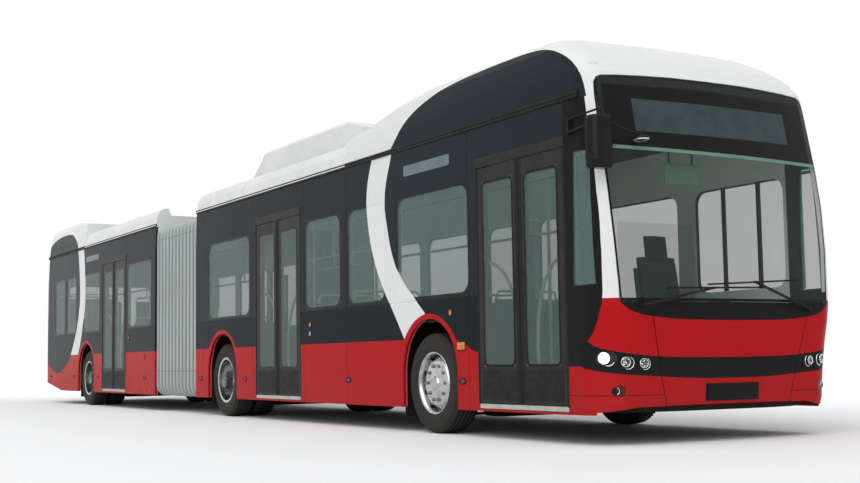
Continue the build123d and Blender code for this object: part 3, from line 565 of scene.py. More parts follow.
def lamp_lens(name, scale, reach, near, far, **sockets):
    """Lens or reflector of small prisms."""
    f = Finish(name, **sockets)
    glow = f.mix(f.texture("ShaderNodeTexVoronoi", "Distance", Scale=scale).span(*reach), near, far)
    f.set(Base_Color=glow)
    if "Emission_Strength" in sockets:
        f.set(Emission_Color=glow)
    return f.material


# Two tones, range of roughness and size of the cloud; then size and depth of the grain, and weight and
# roughness of the coat.
PLAIN = {
    "green_edge": ((0.11, 0.28, 0.17), (0.09, 0.23, 0.15), (0.1, 0.2), 3.0),
    "black_gloss": ((0.007, 0.007, 0.008), (0.012, 0.012, 0.012), (0.12, 0.22), 3.0, None, (0.06, 0.05)),
    "black_trim": ((0.012, 0.012, 0.012), (0.022, 0.021, 0.020), (0.4, 0.6), 8.0, (220.0, 0.0008)),
    "door_black": ((0.017, 0.017, 0.016), (0.029, 0.028, 0.026), (0.3, 0.45), 5.0, (90.0, 0.0006)),
    "sill_plate": ((0.52, 0.51, 0.48), (0.40, 0.39, 0.36), (0.35, 0.6), 9.0, (60.0, 0.001)),
    "display": ((0.13, 0.17, 0.175), (0.16, 0.20, 0.205), (0.08, 0.15), 6.0),
    "display_front": ((0.035, 0.050, 0.055), (0.05, 0.066, 0.070), (0.06, 0.12), 6.0),
    # Near-black discs of painted shade that stand for the hand holes in the front rims.
    "hollow": ((0.006, 0.006, 0.006), (0.012, 0.011, 0.010), (0.7, 0.9), 30.0),
    "underbody": ((0.014, 0.014, 0.014), (0.034, 0.031, 0.027), (0.6, 0.85), 7.0, (40.0, 0.002)),
    "seat_shell": ((0.035, 0.085, 0.060), (0.045, 0.105, 0.072), (0.35, 0.5), 5.0, (150.0, 0.0008)),
    "rail_enamel": ((0.52, 0.60, 0.42), (0.46, 0.54, 0.38), (0.15, 0.3), 6.0, None, (0.4, 0.08)),
    "cab_trim": ((0.030, 0.032, 0.034), (0.044, 0.046, 0.047), (0.45, 0.6), 8.0, (260.0, 0.0008)),
    "visor": ((0.12, 0.23, 0.155), (0.14, 0.26, 0.18), (0.2, 0.35), 5.0),
    "lamp_dull": ((0.16, 0.07, 0.06), (0.10, 0.04, 0.035), (0.1, 0.2), 60.0),
    "tail_red": ((0.42, 0.006, 0.008), (0.30, 0.004, 0.006), (0.08, 0.15), 30.0, None, (0.6, 0.03)),
    "amber": ((0.72, 0.20, 0.02), (0.55, 0.13, 0.01), (0.08, 0.15), 40.0, None, (0.6, 0.03)),
    "button_blue": ((0.30, 0.45, 0.62), (0.22, 0.36, 0.55), (0.2, 0.3), 30.0),
}
# Two tones, the darker second one clouded in as painted reflection, and the range of roughness.
BRUSHED = {
    "alloy": ((0.50, 0.51, 0.52), (0.20, 0.195, 0.18), (0.12, 0.26)),
    "dull_alloy": ((0.36, 0.36, 0.35), (0.16, 0.15, 0.14), (0.3, 0.5)),
    "nut_steel": ((0.22, 0.22, 0.215), (0.08, 0.077, 0.072), (0.3, 0.45)),
    "reflector": ((0.90, 0.90, 0.90), (0.75, 0.75, 0.75), (0.04, 0.10)),
}
TINT = (0.100, 0.175, 0.165)
# What a maker of finishes is given, by maker.
FINISHES = {
    plain: PLAIN,
    brushed: BRUSHED,
    rubber: {"tyre": ((0.024, 0.023, 0.021), (0.042, 0.039, 0.035), 30.0),
             "seal": ((0.010, 0.010, 0.010), (0.022, 0.021, 0.020), 20.0)},
    coated_cloth: {"seat_cloth": ((0.030, 0.060, 0.050),), "driver_cloth": ((0.046, 0.047, 0.054),)},
    glass: {"front_glass": (TINT, 0.36, 0.02, crescent), "rear_glass": (TINT, 0.36, 0.02, tail_stripe),
            # Door glass is tinted darker than the windows, as painted shade of the dark interior behind the
            # doors.
            "door_glass": ((0.070, 0.125, 0.112), 0.40), "screen_glass": ((0.12, 0.17, 0.15), 0.08, 0.01),
            "lamp_glass": ((0.75, 0.78, 0.78), 0.25, 0.01)},
}
MATERIALS = {}


def make_materials(scene):
    """Every finish of the bus, by name."""
    m, settings, cloth = MATERIALS, scene.bus_paint, scene.bus_cloth
    for maker, table in FINISHES.items():
        for name, values in table.items():
            m[name] = maker(name, *values)
    for maker in (floor_cover, cab_shell, frit, lamp_bowl):
        m[maker.__name__] = maker()
    m["front_paint"], m["rear_paint"] = front_paint(settings), rear_paint(settings)
    white, red = tuple(settings.white), tuple(settings.red)
    m["white_paint"] = plain("white_paint", white, scaled(white, 0.9), (0.25, 0.4), 1.5, None, (0.05, 0.1))
    m["red_paint"] = plain("red_paint", red, scaled(red, 0.85), (0.2, 0.3), 1.5, None, (0.04, 0.05))
    m["bellows"] = coated_cloth("bellows", tuple(cloth.cloth), cloth.folds)
    m["lamp_lit"] = lamp_lens("lamp_lit", 70.0, (0.0, 0.5), (1.0, 0.99, 0.95), scaled((1.0, 0.99, 0.95), 0.8),
                              Emission_Strength=1.6, Roughness=0.1)
    m["facets"] = lamp_lens("facets", 62.0, (0.2, 0.6), (0.9, 0.9, 0.9), (0.04, 0.04, 0.045), Metallic=1.0,
                            Roughness=0.12)


def dress(packed, name):
    """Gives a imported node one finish."""
    data = NODES[packed].data
    data.materials.clear()
    data.materials.append(MATERIALS[name])


# ---- mesh writing ------------------------------------------------------------------------------
def turns(count, start=0.0):
    """Angles of equal steps round a full turn."""
    return [2 * math.pi * (k + start) / count for k in range(count)]


def strips(rows, count, around=True, closed=False):
    """Quads between rows of count points: rings if around, the last row joined to the first if closed."""
    return [(a * count + i, a * count + (i + 1) % count, b * count + (i + 1) % count, b * count + i)
            for a, b in enumerate([*range(1, rows), 0]) if closed or b
            for i in range(count if around else count - 1)]


def face_outwards(data):
    """Turns a closed mesh's faces outwards."""
    mesh = bmesh.new()
    mesh.from_mesh(data)
    bmesh.ops.recalc_face_normals(mesh, faces=mesh.faces)
    mesh.to_mesh(data)
    mesh.free()


def placed(name, data):
    """New object in the scene that shows this data."""
    made = bpy.data.objects.new(name, data)
    bpy.context.scene.collection.objects.link(made)
    return made


class Shape:
    """Faces of one piece, gathered part by part, with a finish for each part."""

    def __init__(self, *finishes):
        self.finishes = finishes
        self.points, self.faces, self.slots, self.smooth = [], [], [], []

    def add(self, points, faces, slot=0, smooth=False):
        start = len(self.points)
        self.points += [tuple(p) for p in points]
        self.faces += [tuple(start + i for i in face) for face in faces]
        self.slots += [slot] * len(faces)
        self.smooth += [smooth] * len(faces)

    def block(self, low, high, edge=0.003, slot=0, turn=None):
        """Block with chamfered edges, so that every edge catches light."""
        ends = (Vector(low), Vector(high))
        middle = (ends[0] + ends[1]) / 2
        edge = min(edge, *((ends[1] - ends[0]) * 0.45))
        points, faces = [], []
        for bits in itertools.product((0, 1), repeat=3):
            for axis in range(3):
                points.append(Vector([ends[bit][k] + (0 if k == axis else edge * (1 - 2 * bit))
                                      for k, bit in enumerate(bits)]))
        at = lambda axis, *bits: (bits[0] * 4 + bits[1] * 2 + bits[2]) * 3 + axis
        square = ((0, 0), (1, 0), (1, 1), (0, 1))
        for axis in range(3):
            put_in = lambda bit, p, q: (*(p, q)[:axis], bit, *(p, q)[axis:])
            a, b = [k for k in range(3) if k != axis]
            for bit in (0, 1):
                faces.append([at(axis, *put_in(bit, p, q)) for p, q in square])
            for p, q in square:
                near, far = put_in(0, p, q), put_in(1, p, q)
                faces.append([at(a, *near), at(b, *near), at(b, *far), at(a, *far)])
        faces += [range(3 * corner, 3 * corner + 3) for corner in range(8)]
        if turn:
            points = [middle + turn @ (p - middle) for p in points]
        outward = []
        for face in faces:
            spots = [points[i] for i in face]
            normal = (spots[1] - spots[0]).cross(spots[2] - spots[0])
            outward.append(tuple(face) if normal.dot(sum(spots, Vector()) / len(spots) - middle) > 0
                           else tuple(face)[::-1])
        self.add(points, outward, slot)

    def slab(self, side, x, y, z, edge, slot=0):
        """Block on one side of the bus, from pairs of X, of Y outwards and of Z."""
        (x0, x1), (z0, z1), (y0, y1) = x, z, sorted(side * value for value in y)
        self.block((x0, y0, z0), (x1, y1, z1), edge, slot)

    def prism(self, outline, place, low, high, slot=0):
        """Closed outline of (a, b) pairs between two levels; place turns (a, b, level) into a point."""
        count = len(outline)
        points = [place(a, b, level) for level in (low, high) for a, b in outline]
        area = sum(a * d - c * b for (a, b), (c, d) in zip(outline, outline[1:] + outline[:1]))
        zero, *unit = (Vector(place(*spot)) for spot in ((0, 0, 0), (1, 0, 0), (0, 1, 0), (0, 0, 1)))
        a, b, level = (spot - zero for spot in unit)
        faces = [tuple(range(count))[::-1], tuple(range(count, 2 * count)), *strips(2, count)]
        if (area > 0) != (a.cross(b).dot(level) * (high - low) > 0):
            faces = [face[::-1] for face in faces]
        self.add(points, faces, slot)

    def ring(self, outer, inner, place, low, high, slot=0):
        """Flat frame between two outlines with the same number of points."""
        points = [place(a, b, level)
                  for line, level in ((outer, low), (outer, high), (inner, high), (inner, low))
                  for a, b in line]
        self.add(points, strips(4, len(outer), True, True), slot)

    def lathe(self, profile, centre, along, steps=64, slot=0, closed=True):
        """Profile of (offset, radius) turned about an axis through a centre."""
        along, centre = Vector(along).normalized(), Vector(centre)
        side = along.orthogonal().normalized()
        other = along.cross(side)
        points = [centre + along * offset + (side * math.cos(angle) + other * math.sin(angle)) * radius
                  for angle in turns(steps) for offset, radius in profile]
        self.add(points, strips(steps, len(profile), closed, True), slot, True)

    def tube(self, path, radius, sides=10, slot=0, closed=False):
        """Round bar along a path, capped at its ends."""
        path = [Vector(p) for p in path]
        count = len(path)
        points, lift = [], None
        for i, spot in enumerate(path):
            ahead = path[(i + 1) % count] if closed or i < count - 1 else spot
            behind = path[i - 1] if closed or i else spot
            run = (ahead - behind).normalized()
            lift = (run.orthogonal() if lift is None else lift - run * lift.dot(run)).normalized()
            cross = run.cross(lift)
            points += [spot + (lift * math.cos(a) + cross * math.sin(a)) * radius for a in turns(sides)]
        self.add(points, strips(count, sides, True, closed), slot, True)
        if not closed:
            self.add(points[:sides], [tuple(range(sides))[::-1]], slot)
            self.add(points[-sides:], [tuple(range(sides))], slot)

    def loop(self, centre, radius, thick, slot=0, steps=24):
        """Thin wire ring through a centre; its radius is the pair of vectors that span its plane."""
        a, b = radius
        self.tube([centre + a * math.cos(t) + b * math.sin(t) for t in turns(steps)], thick, 6, slot,
                  closed=True)

    def loft(self, rings, slot=0):
        """Skin over rings of points, each counter-clockwise seen from the last one, closed at both ends."""
        count, last = len(rings[0]), (len(rings) - 1) * len(rings[0])
        ends = [tuple(range(count))[::-1], tuple(range(last, last + count))]
        self.add([point for ring in rings for point in ring], strips(len(rings), count) + ends, slot)

    def shell(self, front, back, cols, slot=0, smooth=False, flip=False):
        """Closed skin over two equal grids of points, joined round their edges."""
        size = len(front)
        faces = strips(size // cols, cols, False)
        faces += [tuple(size + i for i in face[::-1]) for face in faces]
        edge = [*range(cols), *range(2 * cols - 1, size, cols), *range(size - 2, size - cols - 1, -1),
                *range(size - 2 * cols, 0, -cols)]
        faces += [(j, i, size + i, size + j) for i, j in zip(edge, edge[1:] + edge[:1])]
        self.add(front + back, [face[::-1] for face in faces] if flip else faces, slot, smooth)

    def sheet(self, grid, thick, slot=0):
        """Plate through a grid of (point, normal) pairs, thick metres deep behind it."""
        cols, spots = len(grid[0]), [spot for row in grid for spot in row]
        front = [point for point, _ in spots]
        across, down = front[1] - front[0], front[cols] - front[0]
        self.shell(front, [point - normal * thick for point, normal in spots], cols, slot,
                   flip=across.cross(down).dot(spots[0][1]) < 0)

    def piece(self, name, body):
        """Turns the gathered faces into an object that rides on a body."""
        data = bpy.data.meshes.new(name)
        data.from_pydata(self.points, [], self.faces)
        for finish in self.finishes:
            data.materials.append(MATERIALS[finish])
        data.polygons.foreach_set("material_index", self.slots)
        data.polygons.foreach_set("use_smooth", self.smooth)
        data.update()
        made = placed(name, data)
        if body:
            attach(made, body)
        return made


def on_side(side):
    """Place function for an outline of X and Z on a side wall; level runs outwards."""
    return lambda x, z, out: (x, side * out, z)


def rounded(a0, a1, b0, b1, radius, steps=6):
    """Outline of a rectangle with round corners, counter-clockwise."""
    corners = ((a1 - radius, b1 - radius), (a0 + radius, b1 - radius), (a0 + radius, b0 + radius),
               (a1 - radius, b0 + radius))
    return [(a + radius * math.cos(angle), b + radius * math.sin(angle))
            for quarter, (a, b) in enumerate(corners)
            for angle in (math.pi / 2 * (quarter + k / steps) for k in range(steps + 1))]


def straight(points):
    """Function that reads straight runs through (along, values) rows, in order and held at the ends."""
    def read(along):
        along = min(max(along, points[0][0]), points[-1][0])
        for (a, *low), (b, *high) in zip(points, points[1:]):
            if along <= b:
                return [p + (q - p) * (along - a) / (b - a) for p, q in zip(low, high)]
    return read


def nose_spot(y, z, out=0.0):
    """Point on the front end's skin at a width and height, standing out along its normal, and that normal."""
    half, reach, radius = straight(NOSE)(z)
    wide = min(abs(y), half - 0.002)
    corner_y = half - radius
    end_y = corner_y + radius * math.sin(NOSE_BOW)
    if wide <= end_y:
        big = end_y / math.sin(NOSE_BOW)
        angle = math.asin(wide / big)
        x = reach - big + big * math.cos(angle)
    else:
        angle = math.asin((wide - corner_y) / radius)
        x = reach - end_y * math.tan(NOSE_BOW / 2) - radius * math.cos(NOSE_BOW) + radius * math.cos(angle)
    side = -1 if y < 0 else 1
    normal = Vector((math.cos(angle), side * math.sin(angle), 0.0))
    return Vector((x, side * wide, z)) + normal * out, normal


def nose_sheet(shape, reach, steps, low, high, rows, out, thick, slot=0):
    """Plate that follows the front end between two height lines, over widths up to reach on both sides."""
    low, high = (line if callable(line) else lambda y, z=line: z for line in (low, high))
    grid = [[nose_spot(y, low(y) + (high(y) - low(y)) * t, out) for y in spread(-reach, reach, steps)]
            for t in spread(0.0, 1.0, rows)]
    shape.sheet(grid, thick, slot)


def spread(low, high, count):
    return [low + (high - low) * k / count for k in range(count + 1)]


# ---- geometry node patterns --------------------------------------------------------------------
RING_INPUTS = (("Count", "Int", 10), ("Circle Radius", "Float", 0.1675), ("Piece Radius", "Float", 0.016),
               ("Piece Depth", "Float", 0.03), ("Centre", "Vector", (0, 0, 0)), ("Sides", "Int", 6))


def ring_pattern(name, finish):
    """Node group that sets small turned pieces on a circle about Y."""
    group = bpy.data.node_groups.new(name, "GeometryNodeTree")
    group.interface.new_socket("Geometry", in_out="OUTPUT", socket_type="NodeSocketGeometry")
    for label, kind, value in RING_INPUTS:
        made = group.interface.new_socket(label, in_out="INPUT", socket_type="NodeSocket" + kind)
        made.default_value = value
    given = node(group, "NodeGroupInput").outputs
    circle = node(group, "GeometryNodeMeshCircle", Vertices=given["Count"], Radius=given["Circle Radius"])
    top = node(group, "ShaderNodeMath", given["Piece Radius"], 0.82, operation="MULTIPLY")
    cap = node(group, "GeometryNodeMeshCone", Vertices=given["Sides"], Radius_Top=top.outputs[0],
               Radius_Bottom=given["Piece Radius"], Depth=given["Piece Depth"])
    spots = node(group, "GeometryNodeInstanceOnPoints", Points=circle.outputs[0], Instance=cap.outputs[0])
    turn = node(group, "GeometryNodeTransform", Geometry=spots.outputs[0], Translation=given["Centre"],
                Rotation=(-math.pi / 2, 0, 0))
    real = node(group, "GeometryNodeRealizeInstances", turn.outputs[0])
    paint = node(group, "GeometryNodeSetMaterial", Geometry=real.outputs[0], Material=MATERIALS[finish])
    node(group, "NodeGroupOutput", paint.outputs[0])
    return group


def from_pattern(name, group, body, values):
    """Plain mesh piece made by a node group with these named inputs."""
    holder = placed(name + "_pattern", bpy.data.meshes.new(name + "_pattern"))
    modifier = holder.modifiers.new("pattern", "NODES")
    modifier.node_group = group
    for item in group.interface.items_tree:
        if item.in_out == "INPUT" and item.name in values:
            modifier[item.identifier] = values[item.name]
    graph = bpy.context.evaluated_depsgraph_get()
    data = bpy.data.meshes.new_from_object(holder.evaluated_get(graph), depsgraph=graph)
    data.name = name
    bpy.data.objects.remove(holder)
    made = placed(name, data)
    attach(made, body)


# ---- operators ---------------------------------------------------------------------------------
class BUS_OT_paint(bpy.types.Operator):
    """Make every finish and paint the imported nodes"""

    bl_idname = "bus.paint"
    bl_label = "Paint"

    DRESS = {
        "front_paint": ("front_sides", "front_mask", "front_dome"),
        "rear_paint": ("rear_sides", "rear_end", "rear_dome"),
        "white_paint": ("front_roof", "rear_roof", "roof_unit"),
        "red_paint": ("rear_lid",),
        "screen_glass": ("windscreen",),
        "front_glass": ("front_windows",),
        "rear_glass": ("rear_windows",),
        "lamp_bowl": ("front_lamps",),
        "tail_red": ("rear_lamps",),
        "floor_cover": ("front_floor", "rear_floor"),
        "underbody": ("front_axle", "middle_axle", "rear_axle", "turntable_lower", "turntable_upper",
                      "knuckle_left", "knuckle_right", "tie_rod", "power_pack"),
        "seat_shell": ("front_seats", "rear_seats"),
        "rail_enamel": ("front_handrails", "rear_handrails"),
        "cab_shell": ("cab",),
        "black_gloss": ("mirrors",),
        "black_trim": ("wipers",),
        "bellows": ("bellows",),
    }

    def execute(self, context):
        make_materials(context.scene)
        for finish, nodes in self.DRESS.items():
            for packed in nodes:
                dress(packed, finish)
        for door in DOORS:
            for leaf in "ab":
                dress(f"{door}_leaf_{leaf}", "door_black")
                dress(f"{door}_glass_{leaf}", "door_glass")
        for packed in NODES:
            for word, finish in (("_rim_", "alloy"), ("_tyre", "tyre")):
                if word in packed:
                    dress(packed, finish)
        return {"FINISHED"}


class BUS_OT_glazing(bpy.types.Operator):
    """Black borders of the bonded side windows and the windscreen, and the destination displays"""

    bl_idname = "bus.glazing"
    bl_label = "Glazing"

    BORDER = 0.030
    # Upper edge of the windscreen's border by width, and the outer edge of its sides by height.
    HEAD = ((0.0, 3.012), (0.45, 3.004), (0.90, 2.988), (1.09, 2.974), (1.135, 2.950), (1.158, 2.910))
    RIM = ((1.136, 1.126), (1.600, 1.155), (2.000, 1.170), (2.400, 1.173), (2.800, 1.166), (2.920, 1.156))
    # X of the pillars behind the driver's side glass, top of the green glass edges at the front corners, and
    # X span and foot of each edge.
    PILLARS, EDGE_TOP = (7.637, 8.108), 2.345
    EDGES = ((8.618, 8.650, 1.285), (8.650, 8.800, EDGE_TOP - 0.030))
    SIDE_DISPLAYS = {FRONT: (5.770, 6.665, 2.530, 2.635), REAR: (-6.126, -5.326, 2.545, 2.640)}

    def tint_line(self, height):
        """Edge of the screen's tint, which falls a little towards the driver."""
        return lambda y: height - 0.012 * y

    def execute(self, context):
        b = self.BORDER
        for section in SECTIONS:
            shape = Shape("frit", "display")
            for side, windows in ((-1, RIGHT_WINDOWS[section]), (1, LEFT_WINDOWS[section])):
                for low, high in windows:
                    shape.ring(rounded(low - b, high + b, SILL_Z - b, HEAD_Z + b * 0.3, 0.012),
                               rounded(low, high, SILL_Z, HEAD_Z - 0.012, WINDOW_R),
                               on_side(side), SIDE_Y - 0.004, SIDE_Y - 0.002)
            x0, x1, z0, z1 = self.SIDE_DISPLAYS[section]
            shape.prism(rounded(x0, x1, z0, z1, 0.018), on_side(-1), SIDE_Y - 0.012, SIDE_Y - 0.0045, 1)
            if section == FRONT:
                for x in self.PILLARS:
                    shape.slab(1, (x - 0.022, x + 0.022), (SIDE_Y - 0.040, SIDE_Y - 0.0125),
                               (SILL_Z - 0.02, HEAD_Z + 0.01), 0.004)
                shape.finishes += ("green_edge",)
                for side, (rear, front, foot) in itertools.product((-1, 1), self.EDGES):
                    shape.slab(side, (rear, front), (SIDE_Y - 0.022, SIDE_Y - 0.012), (foot, self.EDGE_TOP),
                               0.002, 2)
            shape.piece(f"{section}_window_borders", section)
        screen = Shape("frit", "display_front", "visor")
        nose_sheet(screen, 1.150, 40, self.tint_line(2.382), lambda y: straight(self.HEAD)(abs(y))[0], 6,
                   0.0015, 0.003)
        nose_sheet(screen, 1.150, 40, self.tint_line(2.350), self.tint_line(2.380), 1, 0.0005, 0.002, 2)
        nose_sheet(screen, 1.120, 40, 1.136, 1.160, 1, 0.0015, 0.003)
        rims = [(z, *straight(self.RIM)(z)) for z in spread(1.136, 2.920, 30)]
        for side in (-1, 1):
            screen.sheet([[nose_spot(side * (rim - inset), z, 0.0015) for inset in (0.0, 0.007, 0.014)]
                          for z, rim in rims], 0.003)
        nose_sheet(screen, 0.84, 20, 2.520, 2.795, 2, 0.0028, 0.001, 1)
        screen.piece("windscreen_borders", FRONT)
        return {"FINISHED"}


class BUS_OT_doors(bpy.types.Operator):
    """Rubber seals, glass borders, lower panels, locks and rails of the door leaves, and the surrounds"""

    bl_idname = "bus.doors"
    bl_label = "Doors"

    # Curved grab rail on the inside of a leaf: distance from the hinge edge, height.
    RAIL = ((0.060, 1.560), (0.075, 1.560), (0.180, 1.535), (0.290, 1.470), (0.390, 1.360), (0.460, 1.220),
            (0.500, 1.060), (0.515, 0.900), (0.515, 0.600), (0.515, 0.540))
    # Sill, skirt strip and head round a door: reach past the leaves, Y from the skin, Z, edge and slot.
    SURROUND = ((0.004, 0.001, 0.02, 0.262, 0.303, 0.003, 0),
                (0.004, 0.001, 0.04, SKIRT_Z + 0.003, 0.258, 0.002, 1),
                (0.02, -0.0035, 0.015, 2.424, 2.512, 0.006, 2))
    PANE_BORDER = 0.020

    def execute(self, context):
        width = context.scene.bus_trim.seal_width
        for door, section in DOORS.items():
            for leaf in "ab":
                low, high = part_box(f"{door}_leaf_{leaf}")
                pane_low, pane_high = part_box(f"{door}_glass_{leaf}")
                skin = -low.y
                shape = Shape("door_black", "seal", "black_trim", "frit", "rail_enamel")
                meeting = high.x if leaf == "a" else low.x
                inward = -1 if leaf == "a" else 1
                edge = sorted((meeting - inward * 0.006, meeting + inward * width))
                shape.slab(-1, edge, (skin + 0.0015, skin - 0.034), (low.z + 0.012, high.z - 0.012), 0.004, 1)
                for x in (low.x + 0.006, high.x - 0.006):
                    shape.slab(-1, (x - 0.004, x + 0.004), (skin + 0.001, skin - 0.02),
                               (low.z + 0.01, high.z - 0.01), 0.002, 1)
                inset = self.PANE_BORDER
                shape.ring(rounded(pane_low.x, pane_high.x, pane_low.z, pane_high.z, 0.055),
                           rounded(pane_low.x + inset, pane_high.x - inset, pane_low.z + inset,
                                   pane_high.z - inset, 0.048),
                           on_side(-1), skin, skin + 0.0015, 3)
                shape.prism(rounded(low.x + 0.05, high.x - 0.05, low.z + 0.03, pane_low.z - 0.03, 0.012),
                            on_side(-1), skin, skin + 0.0012, 2)
                hinge = low.x if leaf == "a" else high.x
                shape.tube([(hinge - inward * a, -skin + 0.077, z) for a, z in self.RAIL], 0.0145, 10, 4)
                for along, half in ((0.160, 0.0225), (0.235, 0.011)):
                    x = meeting + inward * along
                    shape.slab(-1, (x - half, x + half), (skin + 0.0015, skin - 0.01), (0.505, 0.530),
                               0.003, 1)
                shape.piece(f"{door}_{leaf}_rubber", f"{door}_leaf_{leaf}")
            low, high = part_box(f"{door}_leaf_a")[0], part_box(f"{door}_leaf_b")[1]
            sill = Shape("sill_plate", "red_paint", "door_black", "black_trim")
            for reach, y0, y1, z0, z1, edge, slot in self.SURROUND:
                sill.block((low.x - reach, y0 - SIDE_Y, z0), (high.x + reach, y1 - SIDE_Y, z1), edge, slot)
            for x in (low.x - 0.012, high.x + 0.012):
                sill.block((x - 0.012, -SIDE_Y - 0.003, 0.30), (x + 0.012, -SIDE_Y + 0.02, 2.43), 0.004, 3)
            sill.piece(f"{door}_surround", section)
        return {"FINISHED"}


class BUS_OT_wheels(bpy.types.Operator):
    """Grooved tyres with shoulder lugs, front rims, hub caps, wheel nuts and valves"""

    bl_idname = "bus.wheels"
    bl_label = "Wheels"

    # Half profile of a tyre, from the bead up the wall to the grooved crown: offset, radius.
    WALL = ((0.108, 0.293), (0.122, 0.300), (0.124, 0.308), (0.131, 0.330), (0.1355, 0.360), (0.137, 0.385),
            (0.1345, 0.410), (0.136, 0.414), (0.131, 0.436), (0.122, 0.452), (0.108, 0.4655), (0.098, 0.4745))
    GROOVES = (0.070, 0.024)
    TYRE_WIDTH = 0.274
    # Front rim: barrel as a closed ring and the dished disc with its hub, as offset outwards and radius.
    BARREL = ((0.1245, 0.298), (0.1245, 0.291), (0.110, 0.277), (0.088, 0.268), (-0.100, 0.262),
              (-0.112, 0.275), (-0.1245, 0.291), (-0.1245, 0.298), (-0.110, 0.298), (-0.102, 0.284),
              (-0.090, 0.274), (0.080, 0.276), (0.102, 0.285), (0.112, 0.298))
    DISC = ((0.119, 0.0005), (0.1205, 0.040), (0.119, 0.052), (0.112, 0.058), (0.099, 0.062), (0.097, 0.072),
            (0.097, 0.196), (0.095, 0.207), (0.088, 0.217), (0.078, 0.226), (0.040, 0.262), (0.032, 0.268),
            (0.022, 0.264), (0.066, 0.216), (0.082, 0.190), (0.084, 0.0005))
    # Hand holes: radius of their circle, how far outwards they sit, and their own radius.
    HOLE_RING, HOLE_OFFSET, HOLE_R = 0.2435, 0.0602, 0.0245
    # Cap of a twin wheel's hub, in the same terms.
    CAP = ((0.0, 0.0), (0.018, 0.030), (0.022, 0.082), (0.014, 0.102), (-0.050, 0.108), (-0.112, 0.120),
           (-0.116, 0.06), (-0.116, 0.0))
    # Where the wheel nuts of a twin wheel sit and how big they are, and the same for the shoulder lugs.
    HUB_NUTS = {"Circle Radius": 0.1475, "Piece Radius": 0.014, "Piece Depth": 0.034, "Sides": 6}
    LUGS = {"Circle Radius": 0.4655, "Piece Radius": 0.0105, "Piece Depth": 0.020, "Sides": 4}

    def tyre_profile(self):
        """Whole profile of a tyre, its grooves cut into the crown."""
        half = list(self.WALL)
        for middle in self.GROOVES:
            half += [(middle + 0.008, 0.4775), (middle + 0.006, 0.466), (middle - 0.006, 0.466),
                     (middle - 0.008, 0.4780)]
        return half + [(-a, r) for a, r in reversed(half)]

    def execute(self, context):
        settings = context.scene.bus_wheels
        nuts = ring_pattern("wheel_nut_ring", "nut_steel")
        lugs = ring_pattern("shoulder_lug_ring", "tyre")
        for axle in ("front", "middle", "rear"):
            word = "tyre" if axle == "front" else "tyres"
            for hand, side in (("left", 1), ("right", -1)):
                body, rubber_node = f"{axle}_wheel_{hand}", f"{axle}_{word}_{hand}"
                low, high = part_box(rubber_node)
                x = AXLES[axle]
                half = self.TYRE_WIDTH / 2
                middles = [(low.y + high.y) / 2] if axle == "front" else [low.y + half, high.y - half]
                shape = Shape("tyre")
                for y in middles:
                    shape.lathe(self.tyre_profile(), (x, y, WHEEL_Z), (0, 1, 0), 96)
                made = shape.piece(f"{axle}_{hand}_tyre_tread", body)
                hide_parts(rubber_node)
                for k, y in enumerate(middles):
                    for edge, end in ((1, "out"), (-1, "in")):
                        from_pattern(f"{axle}_{hand}_lugs_{k}_{end}", lugs, body, {
                            **self.LUGS, "Count": settings.lugs, "Centre": (x, y + edge * 0.104, WHEEL_Z)})
                self.hub(axle, hand, side, body, nuts, settings)
        return {"FINISHED"}

    def front_rim(self, hand, side, body, centre, nuts, settings):
        """Alloy rim whose nut face stands forward of a cone with round hand holes, drawn as discs of painted
        shade.
        """
        shape = Shape("alloy", "hollow", "dull_alloy")
        shape.lathe(self.BARREL, centre, (0, side, 0), 96, 0)
        shape.lathe(self.DISC, centre, (0, side, 0), 96, 0, closed=False)
        for angle in turns(settings.nuts, 0.5):
            spoke = Vector((math.cos(angle), 0, math.sin(angle)))
            out = (spoke * 0.69 + Vector((0, side * 0.72, 0))).normalized()
            spot = centre + spoke * self.HOLE_RING + Vector((0, side * self.HOLE_OFFSET, 0))
            r = self.HOLE_R
            # Each hand hole: a raised alloy lip, then a flat disc of painted shade instead of an opening.
            shape.lathe(((0.0012, 0.0005), (0.0012, r * 0.96), (0.003, r), (0.0034, r * 1.08),
                         (0.0, r * 1.16), (-0.003, r * 1.16), (-0.003, 0.0005)), spot, out, 20, 0)
            shape.lathe(((0.0016, 0.0005), (0.0016, r * 0.93), (0.0008, r * 0.93), (0.0008, 0.0005)),
                        spot, out, 20, 1)
        valve = centre + Vector((0.262 * math.cos(0.9), side * 0.086, 0.262 * math.sin(0.9)))
        shape.tube([valve, valve + Vector((-0.008, side * 0.02, -0.01)),
                    valve + Vector((-0.016, side * 0.034, -0.02))], 0.0045, 8, 2)
        made = shape.piece(f"front_{hand}_rim_disc", body)
        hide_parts(f"front_rim_{hand}")
        from_pattern(f"front_{hand}_nuts", nuts, body, {
            "Count": settings.nuts, "Circle Radius": settings.nut_circle, "Piece Radius": 0.0195,
            "Piece Depth": 0.027, "Centre": tuple(centre + Vector((0, side * 0.1105, 0))), "Sides": 6})

